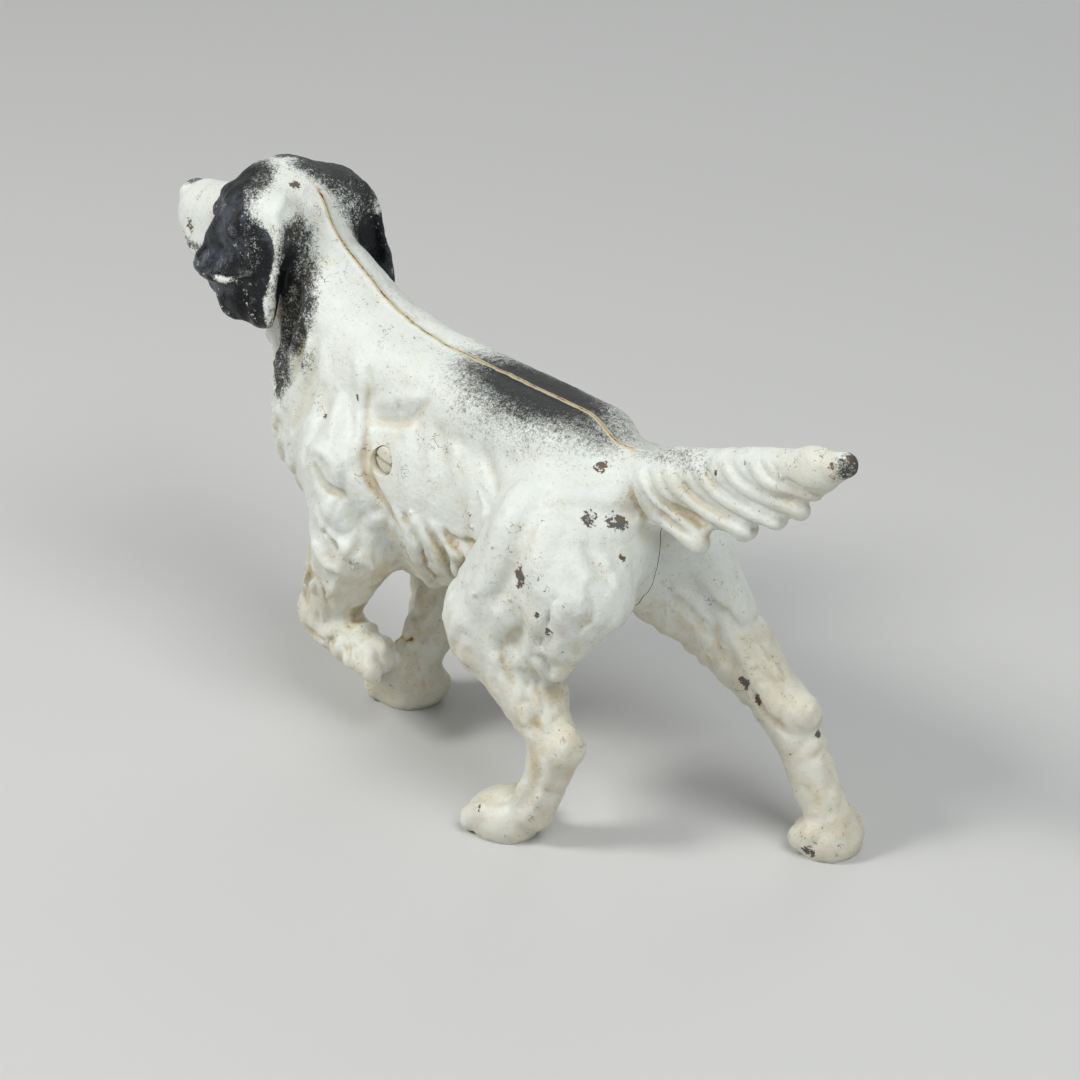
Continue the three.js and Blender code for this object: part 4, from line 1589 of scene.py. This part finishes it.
@dataclass
class Figure:
    """The hollow dog and the way that its two castings share it. All sizes are drawn millimetres."""

    gap: float = 0.3
    screw_at: tuple[float, float] = (25.0, 131.0)
    pillar: float = 20.9  # the boss round the screw, across the hollow
    recess: float = 12.3
    seat: float = 28.07  # y of the shoulder that the screw's head rests on
    shank_hole: float = 6.95
    pocket: float = 11.7  # the side of the nut's square pocket
    nut_seat: float = -26.0
    slot: tuple[float, float] = (40.0, 4.6)
    slot_at: float = 17.0  # x of its middle
    head_joint: tuple[tuple[float, float], ...] = (
        (101, 262), (101, 213), (91, 200), (88, 166), (97, 154), (137, 149), (232, 149), (232, 262),
    )
    rump_joint: tuple[tuple[float, float], ...] = (
        (-84, 232), (-84, 153), (-92, 141), (-107, 132), (-120, 119), (-232, 119), (-232, 232),
    )
    forepaw: tuple[float, float, float, float] = (20.0, 90.0, 32.0, 14.0)  # x from, x to, top, y to
    belly_wall: tuple[float, float] = (62.0, 104.0)  # z from and to, which the coin slot is cut through
    bare_from: float = 0.5  # below the skin, where the paint ends
    pattern: SetterPattern = field(default_factory=SetterPattern)
    skin: Clay = field(init=False)

    ROUGHENED = 5.0  # to each side of the skin, the samples that get the marks of the coat
    SIDES = 32  # of the shank's hole
    PAST = 80  # y beyond the skin on either side, which the tools reach

    def __post_init__(self) -> None:
        """Models the skin."""
        self.skin = Clay((-206, -64, -12), (196, 65, 238), GRAIN)
        self.skin.add(*self.pattern.forms())
        for wave in self.pattern.waves():
            wave.press(self.skin)
        ridge = ((101, 0, 215), (88, 0, 203), (71, 0, 190), (52, 0, 181), (30, 0, 176), (0, 0, 173))
        Lock((*ridge, (-45, 0, 170), (-67, 0, 166), (-84, 0, 157)), 3.6, 1.0, taper=0.8, blend=1.6).press(self.skin)
        self._roughen()
        log.info("skin modelled")

    def _roughen(self) -> None:
        """Gives the skin the tool marks of the hair and the low waves of a sand casting."""
        near = np.argwhere(np.abs(self.skin.values) < self.ROUGHENED)
        points = self.skin.low + self.skin.step * near
        x, z = points[:, 0], points[:, 2]
        coat = np.maximum.reduce([
            smoothstep(z, 108, 84),
            smoothstep(x, 80, 100) * smoothstep(z, 172, 150),
            0.5 * smoothstep(x, -84, -98) * smoothstep(x, -122, -108) * smoothstep(z, 158, 146),
            0.75 * smoothstep(z, 124, 104),
            0.2 + 0 * z,
        ])
        coat *= (1 - 0.55 * smoothstep(z, 26, 12)) * (1 - 0.3 * smoothstep(x, -40, -60))
        flow = np.stack([x + 0.35 * z, points[:, 1], 0.5 * z - 0.2 * x], axis=1)
        flow += 3.0 * np.stack([Weave(n).at(points, 17.0) for n in (5, 6, 7)], axis=1)
        lumps = 2.3 * (np.abs(Weave(8).at(flow, 9.0)) - 0.25) + 1.5 * (np.abs(Weave(9).at(flow, 4.8)) - 0.25)
        waves = 0.16 * Weave(3).at(points, 6.0) + 0.10 * Weave(4).at(points, 2.7)
        self.skin.values[tuple(near.T)] += (waves - coat * lumps).astype(np.float32)

    def _solid(self, clay: Clay, name: str, rounds: int) -> bpy.types.Object:
        """A solid from clay, its points evened out and laid on the surface.

        Args:
            clay: that holds the shape.
            name: of the object.
            rounds: of evening out.

        Returns:
            The object.
        """
        points, faces = clay.mesh()
        for _ in range(rounds):
            total, count = np.zeros_like(points), np.zeros((len(points), 1))
            for a, b in zip(range(4), (1, 2, 3, 0)):
                np.add.at(total, faces[:, a], points[faces[:, b]])
                np.add.at(total, faces[:, b], points[faces[:, a]])
                np.add.at(count, faces[:, a], 1)
                np.add.at(count, faces[:, b], 1)
            points = clay.settle(0.5 * points + 0.5 * total / count, 1)
        placed = np.stack([(points[:, 0] - DRAWN_MIDDLE), points[:, 1], points[:, 2]], axis=1) * SCALE * MM
        return new_object(name, placed, faces)

    def _hollow(self) -> bpy.types.Object:
        """The space inside, with the screw's pillar left standing in it.

        Returns:
            A solid to cut out of the figure.
        """
        core = Clay((-120, -62, 40), (165, 62, 236), CORE_GRAIN)
        core.add(*self.pattern.hollow())
        core.values += self.pattern.wall
        made = self._solid(core, "core", 1)
        carve(made, drum(self.screw_at, self.pillar / 2, -90, 90), "DIFFERENCE")
        return made

    def _whole(self) -> bpy.types.Object:
        """The hollow figure with its screw hole, nut pocket and coin slot, before it is parted.

        Returns:
            The object.
        """
        whole = self._solid(self.skin, "figure", 1)
        carve(whole, self._hollow(), "DIFFERENCE")
        x, z = self.screw_at
        half = self.pocket / 2
        (length, width), middle = self.slot, self.slot_at
        tools = (
            drum(self.screw_at, self.recess / 2, self.seat - self.gap, self.PAST),
            drum(self.screw_at, self.shank_hole / 2, -self.PAST, self.PAST, self.SIDES),
            prism(box_outline(x - half, x + half, z - half, z + half), -self.PAST, self.nut_seat),
            prism(box_outline(middle - length / 2, middle + length / 2, *self.belly_wall), -width / 2, width / 2),
        )
        for tool in tools:
            carve(whole, tool, "DIFFERENCE")
        return whole

    def _share(self, share: Share) -> bpy.types.Object:
        """The part of space that one casting has.

        Args:
            share: which casting.

        Returns:
            A solid to cross the figure with. It reaches well past the dog on every side.
        """
        x0, x1, top, reach = self.forepaw
        room = box_outline(-240, 240, 0, 270)
        if share is Share.LEFT:
            made = prism(room, self.gap / 2, 120)
            wider = box_outline(x0 - self.gap, x1 + self.gap, -9, top + self.gap)
            carve(made, prism(wider, -90, reach + self.gap), "DIFFERENCE")
            for outline in (self.head_joint, self.rump_joint):
                carve(made, prism(outline, -120, 119), "UNION")
            return made
        made = prism(room, -119, -self.gap / 2)
        carve(made, prism(box_outline(x0, x1, 0, top), -self.PAST, reach), "UNION")
        for outline in (self.head_joint, self.rump_joint):
            carve(made, prism(grown(outline, self.gap), -130, 130), "DIFFERENCE")
        return made

    def build(self) -> list[bpy.types.Object]:
        """Makes, dresses and places both castings.

        Returns:
            The two objects.
        """
        whole = self._whole()
        finishes = [AgedEnamel().material(), RawIron().material()]
        made = []
        for share in Share:
            body, node = share.value
            half = whole.copy()
            half.data = whole.data.copy()
            half.name = f"{body}_shell"
            bpy.context.scene.collection.objects.link(half)
            carve(half, self._share(share), "INTERSECT")
            half.data.name = half.name
            finish_mesh(half, CAST_EDGE, finishes)
            self._paint(half.data)
            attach(half, body)
            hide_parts(node)
            made.append(half)
        bpy.data.objects.remove(whole)
        return made

    @staticmethod
    def _drawn(things: Any, layer: str) -> np.ndarray:
        """The drawn places of a mesh's points, or of its faces' middles.

        Args:
            things: the points or the faces.
            layer: the name of their place, co or center.

        Returns:
            One place in each row.
        """
        flat = np.zeros(len(things) * 3, np.float32)
        things.foreach_get(layer, flat)
        return flat.reshape(-1, 3) / (SCALE * MM) + np.array([DRAWN_MIDDLE, 0, 0])

    def _paint(self, mesh: bpy.types.Mesh) -> None:
        """Stores the zones at the points, and which faces are bare iron.

        Args:
            mesh: of one casting.
        """
        spots = self._drawn(mesh.vertices, "co")
        for zone, values in Brushwork(self.skin, self.pattern).zones(spots).items():
            layer = mesh.attributes.new(zone.value, "FLOAT", "POINT")
            layer.data.foreach_set("value", values.astype(np.float32))
        middles = self._drawn(mesh.polygons, "center")
        from_screw = np.hypot(middles[:, 0] - self.screw_at[0], middles[:, 2] - self.screw_at[1])
        in_recess = (from_screw < self.recess) & (middles[:, 1] > self.seat - 1)
        bare = (self.skin.sample(middles) < -self.bare_from) & ~in_recess
        mesh.polygons.foreach_set("material_index", bare.astype(np.int32))


Stroke = tuple[tuple[Point, ...], float, float]  # its course, how far it reaches and how strong it is


@dataclass(frozen=True)
class Brushwork:
    """Where the painter's colours, the years' wear and the painted shade low down lie on the skin."""

    skin: Clay
    pattern: SetterPattern
    bead: float = 1.7  # half the width of the joint along the back
    chips: tuple[tuple[float, float, float, float], ...] = (  # x, y, z and radius
        (-74, 49, 120, 5.0), (-89, 26, 143, 4.0), (-94, 17, 139, 4.5), (-99, 20, 127, 2.0), (-80, 12, 156, 3.0),
        (-119, 4, 131, 4.0), (-198, 0, 192, 5.0), (-191, 4, 190, 2.0), (-110, -29, 97, 3.0), (-126, -23, 68, 3.0),
        (-132, -24, 63, 2.5), (-151, -38, 50, 2.0), (186, 6, 184, 3.5), (188, 9, 190, 2.5),
        (-158, -28, 5, 3.0), (52, 34, 152, 1.6), (44, 30, 152, 1.8), (60, 33, 140, 1.5), (-56, 54, 12, 2.5),
        (172, 15, 188, 3.5), (106, 8, 222, 3.0), (-88, 47, 100, 2.2), (-93, 44, 110, 2.0), (-84, 49, 107, 1.8),
        (-97, 40, 104, 2.2), (-91, 43, 92, 2.0), (-150, 4, 178, 1.8), (-136, 6, 170, 1.6), (-168, 3, 181, 1.8),
    )
    worn_lines: tuple[Stroke, ...] = (  # ridges of the left ear
        (((104, 18, 214), (99, 23, 205), (95, 27, 193), (96, 29, 187)), 4.2, 0.65),
        (((138, 33, 185), (130, 37, 184), (116, 39, 185), (110, 38, 187)), 2.4, 0.45),
        (((111, 24, 209), (105, 28, 195)), 11.0, 0.4),
    )
    sprays: tuple[Stroke, ...] = (  # stop, brows, crown, behind the ears, lips, nose and tail
        (((146, 15, 208), (147, 0, 213), (146, -15, 208)), 10, 0.8),
        (((140, 15, 206), (138, 13, 216), (128, 15, 222)), 13, 1.05),
        (((147, 14, 207), (136, 17, 216), (123, 15, 223), (116, 20, 214)), 11, 1.0),
        (((125, -11, 226), (112, -15, 221), (103, -20, 211)), 13, 1.2),
        (((96, 18, 204), (91, 21, 192), (88, 24, 178), (90, 27, 164)), 11, 0.95),
        (((97, 22, 178), (97, 25, 158), (102, 24, 140)), 10, 0.9),
        (((88, 26, 168), (82, 28, 158)), 9, 0.6),
        (((112, -6, 226), (101, -16, 212), (96, -17, 198), (90, -20, 184), (92, -24, 168)), 10, 1.0),
        (((186, 6, 184), (172, 12, 180), (158, 15, 180)), 3.5, 0.8),
        (((186, -6, 184), (172, -12, 180), (158, -15, 180)), 3.5, 0.8),
        (((190, 0, 197), (184, 0, 200)), 6, 0.9),
        (((-92, 0, 163), (-110, 3, 167), (-128, 5, 170)), 7, 0.45),
        (((-196, 0, 190), (-200, 0, 193)), 6, 1.0),
    )

    def zones(self, spots: np.ndarray) -> dict[Zone, np.ndarray]:
        """The value of every zone at each point.

        Args:
            spots: drawn points, one in each row.

        Returns:
            One array for each zone.
        """
        x, y, z = spots.T
        out = self.skin.slope(spots, 1.3)
        down = np.maximum(-out[:, 2], 0.0)
        level = smoothstep(out[:, 2], 0.1, 0.6)
        black = [form for ear in self.pattern.ear_leaf() for form in (ear, ear.mirrored())]
        black += [Egg((126, 21, 211), (14, 12, 17)), Egg((110, -26, 204), (18, 13, 17))]
        ear = smoothstep(self._near(spots, black), 6.2, 0.6) * smoothstep(z - 0.6 * x, 155, 143)
        ear *= smoothstep(np.where(y > 0, x, x + 9), 92, 97)
        for course, reach, worn in self.worn_lines:
            ear *= 1 - worn * smoothstep(self._near(spots, self._bars(course)), reach, reach * 0.3)
        loin = np.hypot((x + 33) / 67, np.abs(y) / 33)
        saddle = smoothstep(loin, 1.08, 0.1) * smoothstep(z, 134, 160)
        # painted shade: lower parts, faces that look down and the rear are made yellower and darker, standing in for
        # the shade under the dog, along with some yellowing
        low = 0.85 * smoothstep(z, 112, 62) + 0.45 * down + 0.35 * smoothstep(x, -100, -125)
        seam = smoothstep(np.abs(y), self.bead, 0.1) * level * smoothstep(x, 104, 99) * smoothstep(x, -92, -86)
        chip = np.zeros(len(spots))
        for cx, cy, cz, radius in self.chips:
            away = np.linalg.norm(spots - np.array([cx, cy, cz]), axis=1)
            chip = np.maximum(chip, smoothstep(away, radius * 1.5, radius * 0.3))
        return {
            Zone.EAR: ear,
            Zone.SADDLE: saddle,
            Zone.SHADE: self._shade(spots),
            Zone.RECESS: self._recess(spots, out),
            Zone.EDGE: self._edge(spots, out),
            Zone.LOW: np.clip(low, 0, 1),
            Zone.SEAM: seam,
            Zone.CHIP: chip,
        }

    @staticmethod
    def _near(spots: np.ndarray, forms: Sequence[Form]) -> np.ndarray:
        """The distance from each point to the nearest of some forms."""
        return np.min([form.distance(spots) for form in forms], axis=0)

    @staticmethod
    def _bars(course: Sequence[Point]) -> list[Limb]:
        """Bars of no thickness along a course."""
        return [Limb(a, b, 0.0, 0.0) for a, b in zip(course, course[1:])]

    def _shade(self, spots: np.ndarray) -> np.ndarray:
        """The thin black on the stop, behind the ears, on the lips and at both ends of the tail.

        Args:
            spots: drawn points, one in each row.

        Returns:
            One value for each row.
        """
        found = np.zeros(len(spots))
        for course, radius, strength in self.sprays:
            away = self._near(spots, self._bars(course))
            found = np.maximum(found, strength * smoothstep(away, radius * 1.4, radius * 0.35))
        return found

    def _recess(self, spots: np.ndarray, out: np.ndarray) -> np.ndarray:
        """How far each point lies in a hollow, from how slowly the skin falls away before it.

        Args:
            spots: drawn points, one in each row.
            out: the outward direction at each.

        Returns:
            A value from 0 to 1 for each row.
        """
        near = np.maximum(self.skin.sample(spots + 0.8 * out) / 0.8, 0.3)
        deep = [1 - self.skin.sample(spots + reach * out) / (reach * near) for reach in (2.5, 6.0, 12.0)]
        return np.clip(0.9 * deep[0] + 0.6 * deep[1] + 0.45 * deep[2] - 0.03, 0, 1)

    def _edge(self, spots: np.ndarray, out: np.ndarray) -> np.ndarray:
        """How far each point lies on a ridge, from how thin the casting is under it.

        Args:
            spots: drawn points, one in each row.
            out: the outward direction at each.

        Returns:
            A value from 0 to 1 for each row.
        """
        near = np.maximum(-self.skin.sample(spots - 0.8 * out) / 0.8, 0.3)
        shallow = 1 + self.skin.sample(spots - 2.6 * out) / (2.6 * near)
        return np.clip(2.6 * shallow, 0, 1)


# ---- Screw and nut ------------------------------------------------------------------------------------


@dataclass(frozen=True)
class Thread:
    """A coarse V thread about a line along y, in millimetres."""

    major: float = 3.12
    minor: float = 2.55
    pitch: float = 1.27
    steps: int = 8  # rings in one turn

    def rings(self, y0: float, y1: float, grow: float = 0.0) -> list[tuple[float, Any]]:
        """Rings for revolved() whose radius follows the helix.

        Args:
            y0: where it starts.
            y1: where it ends.
            grow: added to its radius.

        Returns:
            y and a radius function for each ring.
        """
        steps = round(abs(y1 - y0) / self.pitch * self.steps)
        return [self._ring(y0 + (y1 - y0) * n / steps, grow) for n in range(steps + 1)]

    def _ring(self, y: float, grow: float) -> tuple[float, Any]:
        """One ring.

        Args:
            y: of the ring.
            grow: added to its radius.

        Returns:
            y and its radius function.
        """

        def radius(turn: float) -> float:
            """The radius at one turn.

            Args:
                turn: from 0 to 1.

            Returns:
                The radius.
            """
            phase = (y / self.pitch - turn) % 1.0
            flank = min(1.0, max(0.0, 1.35 - abs(phase - 0.5) * 3.4))
            return self.minor + (self.major - self.minor) * flank + grow

        return y, radius


@dataclass
class ClampScrew:
    """The slotted round-head screw that holds the castings together."""

    head: float = 11.6
    head_height: float = 4.2
    rim: float = 2.5
    shank: float = 6.35
    slot: tuple[float, float] = (1.6, 1.9)
    slot_turn: float = 12.0  # degrees from level
    threaded: float = 24.0
    tip: float = 0.5  # the chamfer at the end
    run_out: float = 0.9  # from the last thread to the plain shank
    dome_steps: int = 12
    sides: int = 48
    thread: Thread = field(default_factory=Thread)

    def build(self) -> bpy.types.Object:
        """Makes and places the screw.

        Returns:
            The object.
        """
        low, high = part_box("clamp_screw")
        x, z = drawn_axis(low, high)
        y0, top = low.y / MM / SCALE, high.y / MM / SCALE
        seat, half = top - self.head_height, self.shank / 2
        rings: list[tuple[float, Any]] = [(y0, self.thread.minor - self.tip)]
        rings += self.thread.rings(y0 + self.tip, y0 + self.threaded)
        rings += [(y0 + self.threaded + self.run_out, half), (seat - 0.1, half), (seat, half + 0.1)]
        rings += [(seat, self.head / 2 - 0.25), (seat + 0.25, self.head / 2), (seat + self.rim, self.head / 2)]
        dome = self.head_height - self.rim
        for n in range(1, self.dome_steps):
            angle = math.pi / 2 * n / self.dome_steps
            rings.append((seat + self.rim + dome * math.sin(angle), self.head / 2 * math.cos(angle)))
        rings.append((top, 0.35))
        made = revolved("clamp_screw_turned", x, z, rings, self.sides)
        carve(made, self._slot_tool(x, z, top), "DIFFERENCE")
        finish_mesh(made, TURNED_EDGE, [PaintedSteel(head=(seat - 0.2) * SCALE * MM).material()])
        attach(made, "screw")
        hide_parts("clamp_screw")
        return made

    def _slot_tool(self, x: float, z: float, top: float) -> bpy.types.Object:
        """The blade that cuts the slot.

        Args:
            x: of the screw's axis, drawn.
            z: of the screw's axis, drawn.
            top: y of the top of the head, drawn.

        Returns:
            The object.
        """
        width, depth = self.slot
        turn = math.radians(self.slot_turn)
        corners = [(s * self.head, t * width / 2) for s, t in ((-1, -1), (1, -1), (1, 1), (-1, 1))]
        cos, sin = math.cos(turn), math.sin(turn)
        ring = [(x + u * cos - v * sin, z + u * sin + v * cos) for u, v in corners]
        return prism(ring, top - depth, top + 5)


@dataclass
class SquareNut:
    """The square nut, let into the right flank."""

    side: float = 11.1
    chamfer: float = 1.3
    fit: float = 0.3  # between its thread and the screw's
    thread: Thread = field(default_factory=Thread)

    def build(self) -> bpy.types.Object:
        """Makes and places the nut.

        Returns:
            The object.
        """
        low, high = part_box("square_nut")
        x, z = drawn_axis(low, high)
        outer, inner = low.y / MM / SCALE, high.y / MM / SCALE
        h = self.side / 2
        made = prism(box_outline(x - h, x + h, z - h, z + h), outer, inner)
        made.name = "square_nut_tapped"
        wide = h * math.sqrt(2) + 0.1
        turned = [(outer - 0.01, wide - 1.9), (outer + self.chamfer, wide - 0.15), (inner + 0.1, wide - 0.15)]
        carve(made, revolved("tool", x, z, turned, 64), "INTERSECT")
        bore = self.thread.rings(outer - 0.6, inner + 0.6, self.fit)
        carve(made, revolved("tool", x, z, bore, 40), "DIFFERENCE")
        steel = RawIron("bare nut", "3a3634", "6a6561", "7a4526", 0.0008, 0.52)
        finish_mesh(made, TURNED_EDGE, [steel.material()])
        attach(made, "right_casting")
        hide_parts("square_nut")
        return made


def drawn_axis(low: Vector, high: Vector) -> tuple[float, float]:
    """The line along y through a box's middle.

    Args:
        low: the box's lowest corner, in metres.
        high: its highest one.

    Returns:
        x and z of the line, drawn.
    """
    middle = (low + high) / 2 / MM / SCALE
    return middle.x + DRAWN_MIDDLE, middle.z


# ---- Studio -------------------------------------------------------------------------------------------


@dataclass(frozen=True)
class Softbox:
    """A square soft lamp."""

    name: str
    at: Point
    size: float
    power: float
    colour: Point = (1.0, 1.0, 1.0)

    def hang(self, aim: Vector) -> None:
        """Adds the lamp.

        Args:
            aim: the point that it is turned to.
        """
        lamp = bpy.data.lights.new(self.name, "AREA")
        lamp.shape, lamp.size, lamp.energy, lamp.color = "SQUARE", self.size, self.power, self.colour
        made = bpy.data.objects.new(self.name, lamp)
        made.location = self.at
        made.rotation_euler = (aim - Vector(self.at)).to_track_quat("-Z", "Y").to_euler()
        bpy.context.scene.collection.objects.link(made)


@dataclass
class Studio:
    """The pale sweep, the lamps and the camera."""

    eye: Point = (-0.95507, 0.8643, 0.6971)
    forward: Point = (0.663, -0.618, -0.423)
    lens: float = 116.67
    sensor: float = 36.0
    floor: str = "c8c8c6"
    floor_back: float = 3.0  # from the object towards the camera
    floor_reach: float = 1.9  # from the object to the bend
    wall_height: float = 2.4
    half_width: float = 4.0
    bend: float = 0.5
    bend_steps: int = 16
    sky: str = "eef1f4"
    ambient: float = 0.32
    aim: Point = (0.0, 0.0, 0.1)  # what the lamps are turned to
    lamps: tuple[Softbox, ...] = (
        Softbox("key", (0.85, 1.5, 1.7), 0.6, 32.0, (1.0, 0.99, 0.97)),
        Softbox("top", (-1.3, 0.3, 1.8), 1.1, 24.0, (0.97, 0.99, 1.0)),
        Softbox("fill", (1.2, -1.8, 1.4), 1.4, 8.0, (0.95, 0.98, 1.0)),
    )

    def build(self) -> None:
        """Sets up everything round the object."""
        self._camera()
        self._sweep()
        for lamp in self.lamps:
            lamp.hang(Vector(self.aim))
        world = bpy.data.worlds.new("studio")
        world.use_nodes = True
        back = world.node_tree.nodes["Background"]
        back.inputs["Color"].default_value = tint(self.sky)
        back.inputs["Strength"].default_value = self.ambient
        bpy.context.scene.world = world
        bpy.context.scene.view_settings.view_transform = "Standard"
        log.info("studio set up")

    def _camera(self) -> None:
        """The camera at its place."""
        data = bpy.data.cameras.new("camera")
        data.lens, data.sensor_width = self.lens, self.sensor
        data.clip_start, data.clip_end = 0.05, 20.0
        made = bpy.data.objects.new("camera", data)
        made.location = self.eye
        made.rotation_euler = Vector(self.forward).to_track_quat("-Z", "Y").to_euler()
        bpy.context.scene.collection.objects.link(made)
        bpy.context.scene.camera = made

    def _sweep(self) -> None:
        """A floor that bends up into a wall behind the object, seen from the camera."""
        away = Vector((self.forward[0], self.forward[1], 0)).normalized()
        side = Vector((away.y, -away.x, 0))
        profile = [(-self.floor_back, 0.0), (self.floor_reach, 0.0)]
        for n in range(1, self.bend_steps + 1):
            turn = math.pi / 2 * n / self.bend_steps
            profile.append((self.floor_reach + self.bend * math.sin(turn), self.bend * (1 - math.cos(turn))))
        profile.append((self.floor_reach + self.bend, self.wall_height))
        points = [away * d + side * s * self.half_width + Vector((0, 0, h)) for d, h in profile for s in (-1, 1)]
        faces = [(2 * n, 2 * n + 1, 2 * n + 3, 2 * n + 2) for n in range(len(profile) - 1)]
        made = new_object("sweep", [tuple(p) for p in points], faces)
        tree = Tree("paper")
        tree.feed(tree.shader, "Base Color", tint(self.floor))
        tree.feed(tree.shader, "Roughness", 0.9)
        finish_mesh(made, PAPER_EDGE, [tree.material])


def main() -> None:
    """Builds the studio and the bank, and reports each piece."""
    logging.basicConfig(level=logging.INFO, format="%(name)s %(message)s")
    Studio().build()
    for piece in (*Figure().build(), ClampScrew().build(), SquareNut().build()):
        log.info("%s: %d faces", piece.name, len(piece.data.polygons))


if __name__ == "__main__":
    main()
